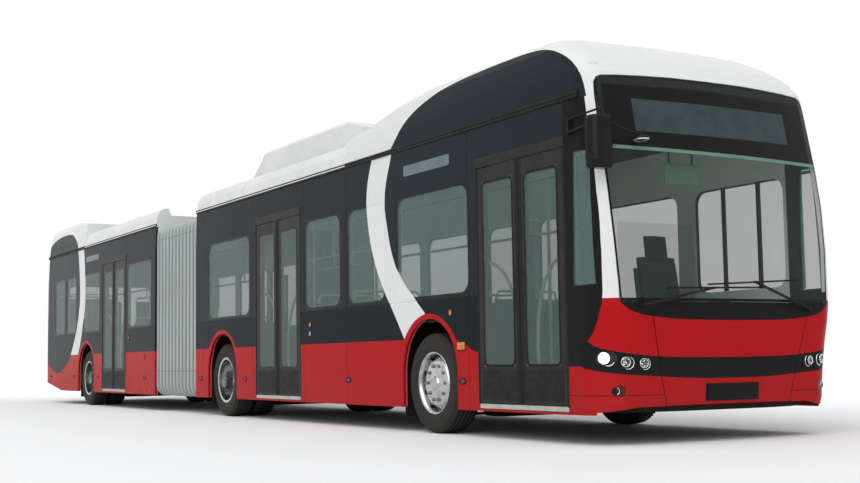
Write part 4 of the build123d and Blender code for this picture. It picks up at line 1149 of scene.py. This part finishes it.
    def hub(self, axle, hand, side, body, nuts, settings):
        """Front rim, or the cap, nut rings, valve and nuts over a twin wheel's hub."""
        middle = centre_of(f"{axle}_rim_{hand}")
        if axle == "front":
            self.front_rim(hand, side, body, middle, nuts, settings)
            return
        x, face_y = middle.x, middle.y + side * 0.016
        shape = Shape("alloy", "dull_alloy")
        shape.lathe([(offset * side, radius) for offset, radius in self.CAP],
                    (x, middle.y + side * 0.130, WHEEL_Z), (0, 1, 0), 48, 0, closed=False)
        for angle in turns(settings.nuts, 0.5):
            shape.loop(Vector((x + 0.210 * math.cos(angle), face_y + side * 0.022,
                               WHEEL_Z + 0.210 * math.sin(angle))),
                       (Vector((0.0335, 0, 0)), Vector((0, 0, 0.0335))), 0.0042, 0, 20)
        valve = Vector((x + 0.245, face_y, WHEEL_Z))
        shape.tube([valve, valve + Vector((0.006, side * 0.03, 0)), valve + Vector((0.016, side * 0.05, 0))],
                   0.0045, 8, 1)
        shape.piece(f"{axle}_{hand}_hub_cap", body)
        from_pattern(f"{axle}_{hand}_nuts", nuts, body, {
            **self.HUB_NUTS, "Count": settings.nuts, "Centre": (x, face_y + side * 0.015, WHEEL_Z)})


class BUS_OT_bellows(bpy.types.Operator):
    """Folded coated cloth between the sections, with its seams"""

    bl_idname = "bus.bellows"
    bl_label = "Bellows"

    HALF, LOW, HIGH, CORNER = 1.245, 0.230, 2.795, 0.150

    def outline(self, shrink):
        """Ring of (y, z) points, drawn in by shrink."""
        half = self.HALF - shrink
        return rounded(-half, half, self.LOW + 0.25 * shrink, self.HIGH - shrink, self.CORNER, 5)

    def execute(self, context):
        settings = context.scene.bus_cloth
        low_x, high_x = SECTION_SPANS[REAR][1], SECTION_SPANS[FRONT][0]
        per_fold = 8
        stations = settings.folds * per_fold
        outer, inner = [], []
        for k, x in enumerate(spread(low_x, high_x, stations)):
            dip = settings.depth * (1 - abs(math.cos(math.pi * k / per_fold)) ** 0.75)
            outer += [(x, y, z) for y, z in self.outline(dip)]
            inner += [(x, y, z) for y, z in self.outline(dip + 0.006)]
        shape = Shape("bellows")
        count, back = len(self.outline(0.0)), len(outer)
        faces = strips(stations + 1, count)
        faces += [tuple(back + i for i in face[::-1]) for face in faces]
        for i, j in ((i, (i + 1) % count) for i in range(count)):
            last = stations * count
            faces += [(back + i, back + j, j, i), (last + i, last + j, back + last + j, back + last + i)]
        shape.add(outer + inner, faces, 0, True)
        made = shape.piece("bellows_cloth", None)
        made.data.validate()
        face_outwards(made.data)
        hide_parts("bellows")
        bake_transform(made)
        return {"FINISHED"}


class BUS_OT_lamps(bpy.types.Operator):
    """Headlamp bowls and lenses, marker lamps, side lamps and door buttons"""

    bl_idname = "bus.lamps"
    bl_label = "Lamps"

    # Offset Y from the middle, height and radius of each bowl, then of the lens that stands in it.
    HEADS = (((0.890, 0.642, 0.050), (0.903, 0.647, 0.036)), ((1.042, 0.652, 0.054), (1.064, 0.658, 0.038)),
             ((1.180, 0.682, 0.058), (1.203, 0.690, 0.046)))
    FOG = ((1.092, 0.432, 0.046), (1.124, 0.432, 0.030))
    # Roof marker: offset Y and height; oblong lamp ahead of the arch: X and Z span.
    MARKER = (1.090, 3.095)
    OBLONG = (6.785, 6.915, 0.788, 0.856)
    # X, height and finish of the small fittings on the right side.
    BUTTONS = {FRONT: ((6.654, 1.136, "amber"), (3.519, 1.123, "amber"),
                       (3.516, 1.019, "button_blue")),
               REAR: ((-3.504, 1.136, "amber"), (-2.655, 0.816, "tail_red"))}

    def aimed(self, side, place):
        """Middle of a lamp on the front end's skin, and the way it faces."""
        spot, normal = nose_spot(side * place[0], place[1])
        return spot, (normal * 0.5 + Vector((0.5, side * 0.16, 0.0))).normalized()

    def ring(self, shape, side, place, share, thick, proud, arc):
        """Chrome ring round a bowl or lens, over an arc in degrees from the side nearest the bus's middle."""
        spot, aim = self.aimed(side, place)
        across = Vector((-aim.y, aim.x, 0)).normalized() * -side
        path = [spot + aim * proud + (across * math.cos(t) + Vector((0, 0, math.sin(t)))) * place[2] * share
                for t in (math.radians(a) for a in spread(*arc, 32))]
        shape.tube(path, thick, 6, 0)

    def disc(self, shape, x, z, side, radius, rim, lens, long=1.0):
        """Lens in a raised rim on the side wall, drawn out along X."""
        start = len(shape.points)
        centre = Vector((x, side * (SIDE_Y - 0.002), z))
        shape.lathe(((0.0, radius * 1.35), (0.007, radius * 1.35), (0.009, radius * 1.1), (0.006, radius),
                     (0.0, radius)), centre, (0, side, 0), 24, rim)
        shape.lathe(((0.0, radius), (0.006, radius), (0.008, radius * 0.6), (0.009, 0.0005), (0.0, 0.0005)),
                    centre, (0, side, 0), 24, lens)
        shape.points[start:] = [(x + (p[0] - x) * long, p[1], p[2]) for p in shape.points[start:]]

    def execute(self, context):
        radius = context.scene.bus_trim.lamp_radius
        heads = Shape("reflector", "lamp_lit", "facets", "black_gloss")
        for bowl, lens in (*self.HEADS, self.FOG):
            core = 1 if lens is self.HEADS[-1][1] else 3 if lens is self.FOG[1] else 2
            for side in (-1, 1):
                if core != 3:
                    self.ring(heads, side, bowl, 0.92, 0.0030, 0.002, (-110, 60))
                centre, aim = self.aimed(side, lens)
                size = lens[2]
                proud = 0.004 if core == 3 else 0.014
                heads.lathe(((proud, size), (proud - 0.012, size), (proud - 0.012, 0.0005),
                             (proud - 0.002, 0.0005), (proud - 0.003, size * 0.45),
                             (proud - 0.001, size * 0.86)), centre, aim, 36, core)
                self.ring(heads, side, lens, 1.0, 0.0022, proud, (-70, 70) if core == 3 else (-180, 180))
        heads.piece("headlamp_units", FRONT)
        markers = Shape("lamp_glass", "black_trim")
        for side in (-1, 1):
            spot, normal = nose_spot(side * self.MARKER[0], self.MARKER[1])
            across = Vector((-normal.y, normal.x, 0))
            grid = [[(spot + across * a + Vector((0, 0, b)) + normal * (0.012 - 0.008 * abs(a) / 0.04),
                      normal)
                     for a in spread(-0.042, 0.042, 6)]
                    for b in (-0.012, -0.006, 0.006, 0.012)]
            markers.sheet(grid, 0.012)
        markers.piece("roof_marker_lamps", FRONT)
        for section in SECTIONS:
            shape = Shape("black_trim", "amber", "tail_red", "button_blue", "lamp_dull")
            for x in SKIRT_LAMPS[section]:
                self.disc(shape, x, SIDE_LAMP_Z, -1, radius, 0, 4, 2.0)
            for x, z, finish in self.BUTTONS[section]:
                self.disc(shape, x, z, -1, radius * 1.15, 0, shape.finishes.index(finish))
            if section == FRONT:
                x0, x1, z0, z1 = self.OBLONG
                for grow, out, finish in ((0.010, 0.003, 0), (0.0, 0.012, 1)):
                    shape.prism(rounded(x0 - grow, x1 + grow, z0 - grow, z1 + grow, 0.016), on_side(-1),
                                SIDE_Y - 0.009, SIDE_Y + out, finish)
            shape.piece(f"{section}_side_lamps", section)
        return {"FINISHED"}


class BUS_OT_tail(bpy.types.Operator):
    """Tail lamps with their reflectors, the high stop lamp, and the lid's louvres and handle"""

    bl_idname = "bus.tail"
    bl_label = "Tail"

    # Height and finish of each lamp, the half width they stand at, and the louvres' span and count.
    LAMPS, LAMP_Y = ((0.800, "lamp_dull"), (0.960, "amber"), (1.120, "tail_red")), 1.060
    LOUVRES = (0.740, 1.130, 11)

    def execute(self, context):
        lamps = Shape("black_gloss", "tail_red", "amber", "lamp_dull")
        for z, lens in self.LAMPS:
            for side in (-1, 1):
                centre = Vector((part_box("rear_lamps")[0].x, side * self.LAMP_Y, z))
                lamps.lathe(((-0.012, 0.058), (-0.012, 0.071), (0.006, 0.073), (0.012, 0.068),
                             (0.010, 0.058)), centre, (-1, 0, 0), 36, 0)
                lamps.lathe(((0.001, 0.0005), (0.006, 0.0005), (0.005, 0.030), (0.002, 0.050),
                             (-0.003, 0.057), (-0.008, 0.057)),
                            centre, (-1, 0, 0), 32, lamps.finishes.index(lens))
                for r in (0.022, 0.040):
                    spokes = Vector((0, r, 0)), Vector((0, 0, r))
                    lamps.loop(centre + Vector((-0.0055 + r * 0.03, 0, 0)), spokes, 0.0016)
        for side in (-1, 1):
            y = side * self.LAMP_Y
            lamps.block((-9.052, y - 0.045, 0.640), (-9.030, y + 0.045, 0.690), 0.004, 1)
        lamps.block((-9.078, -0.22, 2.345), (-9.050, 0.22, 2.375), 0.004, 1)
        lamps.piece("tail_lamp_rings", REAR)
        lid = Shape("black_trim", "black_gloss")
        z0, z1, count = self.LOUVRES
        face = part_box("rear_lid")[0].x + 0.0135
        lid.ring(rounded(-0.60, 0.60, z0 - 0.02, z1 + 0.02, 0.02),
                 rounded(-0.585, 0.585, z0 - 0.005, z1 + 0.005, 0.012),
                 lambda y, z, out: (-out, y, z), -face - 0.006, -face + 0.003)
        tilt = Matrix.Rotation(0.6, 3, "Y")
        for z in spread(z0 + 0.015, z1 - 0.015, count):
            lid.block((face - 0.010, -0.585, z - 0.004), (face + 0.014, 0.585, z + 0.004), 0.002, 0, tilt)
        lid.block((face - 0.008, -0.07, 0.515), (face + 0.004, 0.07, 0.540), 0.004, 1)
        lid.piece("lid_louvres", "rear_lid")
        return {"FINISHED"}


class BUS_OT_roof(bpy.types.Operator):
    """Hatches on the roof, with their rubber rims and handles"""

    bl_idname = "bus.roof"
    bl_label = "Roof"

    HATCHES = {FRONT: (0.42,), REAR: (-2.9, -5.4)}

    def execute(self, context):
        for section in SECTIONS:
            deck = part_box(f"{section.split('_')[0]}_roof")[1].z - 0.085
            shape = Shape("white_paint", "black_trim")
            for x in self.HATCHES[section]:
                shape.block((x - 0.30, -0.36, deck), (x + 0.30, 0.36, deck + 0.045), 0.012)
                shape.block((x - 0.33, -0.39, deck - 0.02), (x + 0.33, 0.39, deck + 0.012), 0.006, 1)
                for y in (-0.22, 0.22):
                    shape.block((x + 0.27, y - 0.05, deck + 0.030), (x + 0.33, y + 0.05, deck + 0.052),
                                0.004, 1)
            shape.piece(f"{section}_roof_fittings", section)
        return {"FINISHED"}


class BUS_OT_trim(bpy.types.Operator):
    """Drip rails, arch lips, mudflaps and the blank number plate"""

    bl_idname = "bus.trim"
    bl_label = "Trim"

    # How far behind each axle its mudflaps hang, and their span across and up.
    FLAPS = {FRONT: {"front": 0.590, "middle": 0.540}, REAR: {"rear": 0.540}}
    FLAP_Y, FLAP_Z = (0.80, 1.215), (0.14, 0.62)

    def execute(self, context):
        height = context.scene.bus_trim.rail_height
        ends = {FRONT: (SECTION_SPANS[FRONT][0], 8.70), REAR: (TAIL_X + 0.18, SECTION_SPANS[REAR][1])}
        for section, (low, high) in ends.items():
            shape = Shape("black_trim", "seal", "red_paint")
            for side in (-1, 1):
                for z, out in ((EAVES_Z - 0.002, 0.0), (EAVES_Z + height * 0.56, -0.002)):
                    shape.slab(side, (low, high), (SIDE_Y - 0.022, SIDE_Y + out), (z, z + height * 0.42),
                               0.004)
                shape.slab(side, (low, high), (SIDE_Y - 0.03, SIDE_Y - 0.006), (EAVES_Z, EAVES_Z + height),
                           0.003, 1)
            for axle, behind in self.FLAPS[section].items():
                x = AXLES[axle] - behind
                for side in (-1, 1):
                    self.lip(shape, AXLES[axle], side)
                    shape.slab(side, (x - 0.005, x + 0.005), self.FLAP_Y, self.FLAP_Z, 0.004, 1)
            shape.piece(f"{section}_side_trim", section)
        plate = Shape("black_gloss", "black_trim")
        nose_sheet(plate, 0.275, 10, 0.342, 0.466, 2, 0.014, 0.012)
        nose_sheet(plate, 0.285, 10, 0.334, 0.474, 2, 0.006, 0.006, 1)
        plate.piece("number_plate_blank", FRONT)
        return {"FINISHED"}

    def lip(self, shape, x, side, radius=0.531, centre_z=0.570):
        """Rolled red edge round a wheel arch, turned inwards behind it."""
        wall, foot = side * (SIDE_Y - 0.012), 0.262
        path = [(x + radius, wall, foot)]
        path += [(x + radius * math.cos(a), wall, centre_z + radius * math.sin(a))
                 for a in spread(0.0, math.pi, 28)]
        path.append((x - radius, wall, foot))
        shape.tube(path, 0.010, 8, 2)
        grid = []
        for px, _, pz in path:
            normal = (Vector((x, 0, centre_z)) - Vector((px, 0, max(pz, centre_z)))).normalized()
            grid.append([(Vector((px, side * (SIDE_Y - depth), pz)), normal) for depth in (0.012, 0.055)])
        shape.sheet(grid, 0.003, 2)


class BUS_OT_mirrors(bpy.types.Operator):
    """Main mirror with its rounded housing, bracket and stays, and the wide-angle dish beside it"""

    bl_idname = "bus.mirrors"
    bl_label = "Mirrors"

    # Housing: plan outline as X and Y, and its size at each height.
    PLAN = ((8.950, -1.385), (8.985, -1.385), (9.035, -1.375), (9.056, -1.345), (9.060, -1.275),
            (9.056, -1.205), (9.035, -1.180), (8.985, -1.172), (8.950, -1.172))
    LEVELS = ((2.172, 0.78), (2.180, 0.88), (2.200, 0.96), (2.235, 1.0), (2.540, 1.0), (2.572, 0.97),
              (2.588, 0.90), (2.594, 0.80))
    STAYS = (((8.600, -1.290, 2.628), (8.80, -1.284, 2.640), (9.004, -1.272, 2.654)),
             ((8.600, -1.294, 2.522), (8.80, -1.292, 2.536), (8.960, -1.288, 2.552)))
    # Wide-angle dish: its middle, then shell and mirror face as offset and radius.
    DISH = Vector((9.022, -0.880, 2.428))
    DISH_SHELL = ((-0.012, 0.0005), (-0.010, 0.040), (-0.002, 0.074), (0.003, 0.080), (0.008, 0.079),
                  (0.022, 0.056), (0.030, 0.020), (0.030, 0.0005))
    DISH_FACE = ((-0.0165, 0.0005), (-0.0145, 0.036), (-0.005, 0.070), (-0.002, 0.070), (-0.008, 0.0005))

    def execute(self, context):
        shape = Shape("black_gloss", "black_trim", "reflector")
        middle = Vector((9.005, -1.279))
        rings = [[(middle.x + (x - middle.x) * size, middle.y + (y - middle.y) * size, z)
                  for x, y in self.PLAN] for z, size in self.LEVELS]
        shape.loft(rings, 0)
        shape.prism(rounded(-1.368, -1.190, 2.215, 2.560, 0.03), lambda y, z, out: (out, y, z),
                    8.9455, 8.9500, 2)
        shape.block((8.988, -1.292, 2.590), (9.020, -1.254, 2.662), 0.006, 1)
        shape.block((8.588, -1.304, 2.500), (8.612, -1.262, 2.650), 0.005, 1)
        for path in self.STAYS:
            shape.tube(path, 0.009, 10, 1)
        x, y, z = self.DISH
        shape.tube(((9.010, -1.190, 2.545), (9.016, -1.040, 2.500), (9.020, y - 0.01, z + 0.036)),
                   0.0075, 10, 1)
        shape.tube(((x, y, z + 0.020), (x + 0.006, y + 0.010, z + 0.055), (x + 0.004, y + 0.030, z + 0.085)),
                   0.006, 8, 1)
        shape.block((x - 0.018, y - 0.022, z + 0.018), (x + 0.018, y + 0.022, z + 0.044), 0.006, 1)
        for profile, slot in ((self.DISH_SHELL, 0), (self.DISH_FACE, 2)):
            shape.lathe(profile, self.DISH, (-0.10, 0.0, 1.0), 32, slot)
        made = shape.piece("mirror_set", FRONT)
        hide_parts("mirrors")
        return {"FINISHED"}


class BUS_OT_cabin(bpy.types.Operator):
    """Driver's seat cushions, seat pads with their handles, ceiling rails and the sun visor"""

    bl_idname = "bus.cabin"
    bl_label = "Cabin"

    # Rows of paired seats: height of the floor under them, side, and X of each row.
    LOW_FLOOR, HIGH_FLOOR = 0.305, 0.9
    SEATS = {FRONT: ((LOW_FLOOR, -1, (4.60, 3.70)), (LOW_FLOOR, 1, (5.00, 4.20, 3.40, 2.60, 1.80))),
             REAR: ((LOW_FLOOR, 1, (-2.75, -3.55, -4.35)), (LOW_FLOOR, -1, (-3.30,)),
                    (HIGH_FLOOR, 1, (-7.45, -8.35)), (HIGH_FLOOR, -1, (-7.45, -8.35)))}
    PLACES, LEAN = (0.575, 1.005), -math.atan2(0.11, 0.63)
    # Ceiling rails: ends, X of the hangers, and where the rails run.
    RAILS = {FRONT: (0.2, 6.9, (0.6, 2.4, 4.2, 6.0)), REAR: (-8.5, -2.4, (-8.0, -6.2, -4.4, -2.8))}
    RAIL_Y, RAIL_Z, CEILING_Z = 0.44, 2.02, 2.935
    # Cushion, back and headrest of the driver's seat: low and high corner, lean.
    CUSHIONS = (((7.39, 0.44, 0.915), (7.80, 0.88, 0.985), 0.0),
                ((7.31, 0.43, 0.990), (7.40, 0.89, 1.66), 0.17),
                ((7.270, 0.53, 1.62), (7.345, 0.79, 1.86), 0.12))

    def seat(self, pads, x, side, base):
        """Pads of a pair of seats and the handle round its back."""
        lean = Matrix.Rotation(self.LEAN, 3, "Y")
        for y in (side * place for place in self.PLACES):
            pads.block((x + 0.03, y - 0.19, base + 0.43), (x + 0.42, y + 0.19, base + 0.462), 0.012)
            pads.block((x - 0.045, y - 0.18, base + 0.47), (x - 0.010, y + 0.18, base + 1.03), 0.012, 0, lean)
        path = ((0.08, 0.37, 0.86), (0.10, 0.37, 1.10), (0.12, 0.42, 1.15), (0.12, 1.17, 1.15),
                (0.11, 1.20, 1.06))
        pads.tube([(x - back, side * out, base + up) for back, out, up in path], 0.013, 8, 1)

    def execute(self, context):
        for section, groups in self.SEATS.items():
            pads = Shape("seat_cloth", "rail_enamel")
            for base, side, rows in groups:
                for x in rows:
                    self.seat(pads, x, side, base)
            pads.piece(f"{section}_seat_pads", section)
        for section, (low, high, hangers) in self.RAILS.items():
            rails = Shape("rail_enamel")
            for y in (-self.RAIL_Y, self.RAIL_Y):
                rails.tube([(x, y, self.RAIL_Z) for x in (low, (low + high) / 2, high)], 0.016, 10)
                for x in hangers:
                    rails.tube([(x, y, self.RAIL_Z), (x, y, self.CEILING_Z)], 0.012, 8)
            rails.piece(f"{section}_grab_rails", section)
        visor = Shape("visor", "black_trim")
        visor.block((8.535, -0.255, 2.165), (8.560, 0.115, 2.345), 0.012)
        for y in (-0.20, 0.06):
            visor.block((8.540, y - 0.008, 2.340), (8.556, y + 0.008, 2.935), 0.004, 1)
        visor.piece("cab_visor", FRONT)
        self.driver_seat()
        return {"FINISHED"}

    def driver_seat(self):
        """Two crowned cushions and a headrest on the driver's seat."""
        shape = Shape("driver_cloth")
        steps = spread(-1.0, 1.0, 12)
        for low, high, lean in self.CUSHIONS:
            low, high = Vector(low), Vector(high)
            middle, half = (low + high) / 2, (high - low) / 2
            turn = Matrix.Rotation(-lean, 3, "Y")
            thin = min(range(3), key=lambda k: half[k])
            a, b = [k for k in range(3) if k != thin]
            grids = []
            for face in (1, -1):
                grids.append([])
                for u, v in itertools.product(steps, repeat=2):
                    spot = Vector()
                    spot[a] = half[a] * u * (1 - 0.03 * v * v)
                    spot[b] = half[b] * v * (1 - 0.03 * u * u)
                    spot[thin] = face * half[thin] * (0.35 + 0.65 * ((1 - u ** 4) * (1 - v ** 4)) ** 0.5)
                    grids[-1].append(middle + turn @ spot)
            shape.shell(*grids, len(steps), smooth=True)
        made = shape.piece("driver_seat_cushions", FRONT)
        face_outwards(made.data)


class BUS_OT_stage(bpy.types.Operator):
    """Pale floor, soft lights and the camera"""

    bl_idname = "bus.stage"
    bl_label = "Stage"

    CAMERA = {"lens": 54.0132, "place": (17.013756, -7.438999, 0.693939), "yaw": 2.6197085,
              "pitch": 0.0919568, "roll": -0.0156843}

    # Name, aim, strength and width in degrees of each soft lamp.
    SUNS = (("overhead", (-0.25, 0.30, -1.0), 1.45, 70), ("front_right", (-0.75, 0.85, -0.55), 0.95, 50))
    FLOOR_REACH = 120.0

    def camera(self, scene):
        data = bpy.data.cameras.new("camera")
        data.lens, data.sensor_width, data.clip_end = self.CAMERA["lens"], 36.0, 400.0
        yaw, pitch, roll = (self.CAMERA[name] for name in ("yaw", "pitch", "roll"))
        ahead = Vector((math.cos(pitch) * math.cos(yaw), math.cos(pitch) * math.sin(yaw), math.sin(pitch)))
        right = Vector((math.sin(yaw), -math.cos(yaw), 0.0))
        up = right.cross(ahead)
        turned_right = right * math.cos(roll) + up * math.sin(roll)
        turned_up = up * math.cos(roll) - right * math.sin(roll)
        made = placed("camera", data)
        grid = Matrix((turned_right, turned_up, -ahead)).transposed().to_4x4()
        grid.translation = Vector(self.CAMERA["place"])
        made.matrix_world = grid
        scene.camera = made

    def floor(self):
        """Pale floor that fades to white for the camera away from the bus."""
        mesh = bpy.data.meshes.new("floor")
        reach, low = self.FLOOR_REACH, CAD_LOW.z - 0.0005
        mesh.from_pydata([(-reach, -reach, low), (reach, -reach, low), (reach, reach, low),
                          (-reach, reach, low)], [], [(0, 1, 2, 3)])
        made = placed("floor", mesh)
        finish = Finish("pale_floor", Base_Color=(0.90, 0.90, 0.90), Roughness=0.9, Specular_IOR_Level=0.05)
        away = (abs(finish.x) - CAD_HIGH.x) | (abs(finish.y) - CAD_HIGH.y)
        seen = Field(finish.tree, node(finish.tree, "ShaderNodeLightPath").outputs["Is Camera Ray"])
        finish.set(Emission_Color=(1.0, 1.0, 1.0), Emission_Strength=seen * away.span(1.0, 9.0, 0.0, 0.20))
        mesh.materials.append(finish.material)

    def sky(self, scene):
        """Even pale sky that looks white to the camera, in metal and through glass."""
        world = scene.world = bpy.data.worlds.new("studio")
        world.use_nodes = True
        tree = world.node_tree
        tree.nodes.clear()
        path = node(tree, "ShaderNodeLightPath").outputs
        clear = path["Is Camera Ray"]
        for kind in ("Is Glossy Ray", "Is Transmission Ray"):
            clear = node(tree, "ShaderNodeMath", clear, path[kind], operation="MAXIMUM").outputs[0]
        soft, seen = (node(tree, "ShaderNodeBackground", Color=shade, Strength=strength).outputs[0]
                      for shade, strength in (((0.95, 0.97, 1.0), 0.42), ((1, 1, 1), 1.0)))
        mix = node(tree, "ShaderNodeMixShader", clear, soft, seen)
        node(tree, "ShaderNodeOutputWorld", Surface=mix.outputs[0])

    def sun(self, name, aim, power, width):
        """Wide soft lamp that lights the whole floor alike."""
        data = bpy.data.lights.new(name, "SUN")
        data.energy, data.angle = power, math.radians(width)
        made = placed(name, data)
        made.rotation_mode = "QUATERNION"
        made.rotation_quaternion = Vector(aim).to_track_quat("-Z", "Y")

    def execute(self, context):
        scene = context.scene
        self.camera(scene)
        self.floor()
        self.sky(scene)
        for lamp in self.SUNS:
            self.sun(*lamp)
        scene.view_settings.view_transform = "Standard"
        return {"FINISHED"}


class BUS_PT_panel(bpy.types.Panel):
    """Lists the bus's operators and settings"""

    bl_idname = "BUS_PT_panel"
    bl_label = "Articulated bus"
    bl_space_type = "VIEW_3D"
    bl_region_type = "UI"
    bl_category = "Bus"

    def draw(self, context):
        for group in SETTINGS:
            settings = getattr(context.scene, group)
            for name in settings.__annotations__:
                self.layout.prop(settings, name)
        for cls in OPERATORS:
            self.layout.operator(cls.bl_idname)


SETTINGS = {
    "bus_paint": BusPaintSettings,
    "bus_trim": BusTrimSettings,
    "bus_wheels": BusWheelSettings,
    "bus_cloth": BusClothSettings,
}
OPERATORS = (
    BUS_OT_paint,
    BUS_OT_glazing,
    BUS_OT_doors,
    BUS_OT_wheels,
    BUS_OT_bellows,
    BUS_OT_lamps,
    BUS_OT_tail,
    BUS_OT_roof,
    BUS_OT_trim,
    BUS_OT_mirrors,
    BUS_OT_cabin,
    BUS_OT_stage,
)


def register():
    for group in SETTINGS.values():
        bpy.utils.register_class(group)
    for name, group in SETTINGS.items():
        setattr(bpy.types.Scene, name, bpy.props.PointerProperty(type=group))
    for cls in (*OPERATORS, BUS_PT_panel):
        bpy.utils.register_class(cls)


def unregister():
    for cls in (*OPERATORS, BUS_PT_panel):
        bpy.utils.unregister_class(cls)
    for name, group in SETTINGS.items():
        delattr(bpy.types.Scene, name)
        bpy.utils.unregister_class(group)


def main():
    register()
    for cls in OPERATORS:
        area, name = cls.bl_idname.split(".")
        getattr(getattr(bpy.ops, area), name)()


if __name__ == "__main__":
    main()
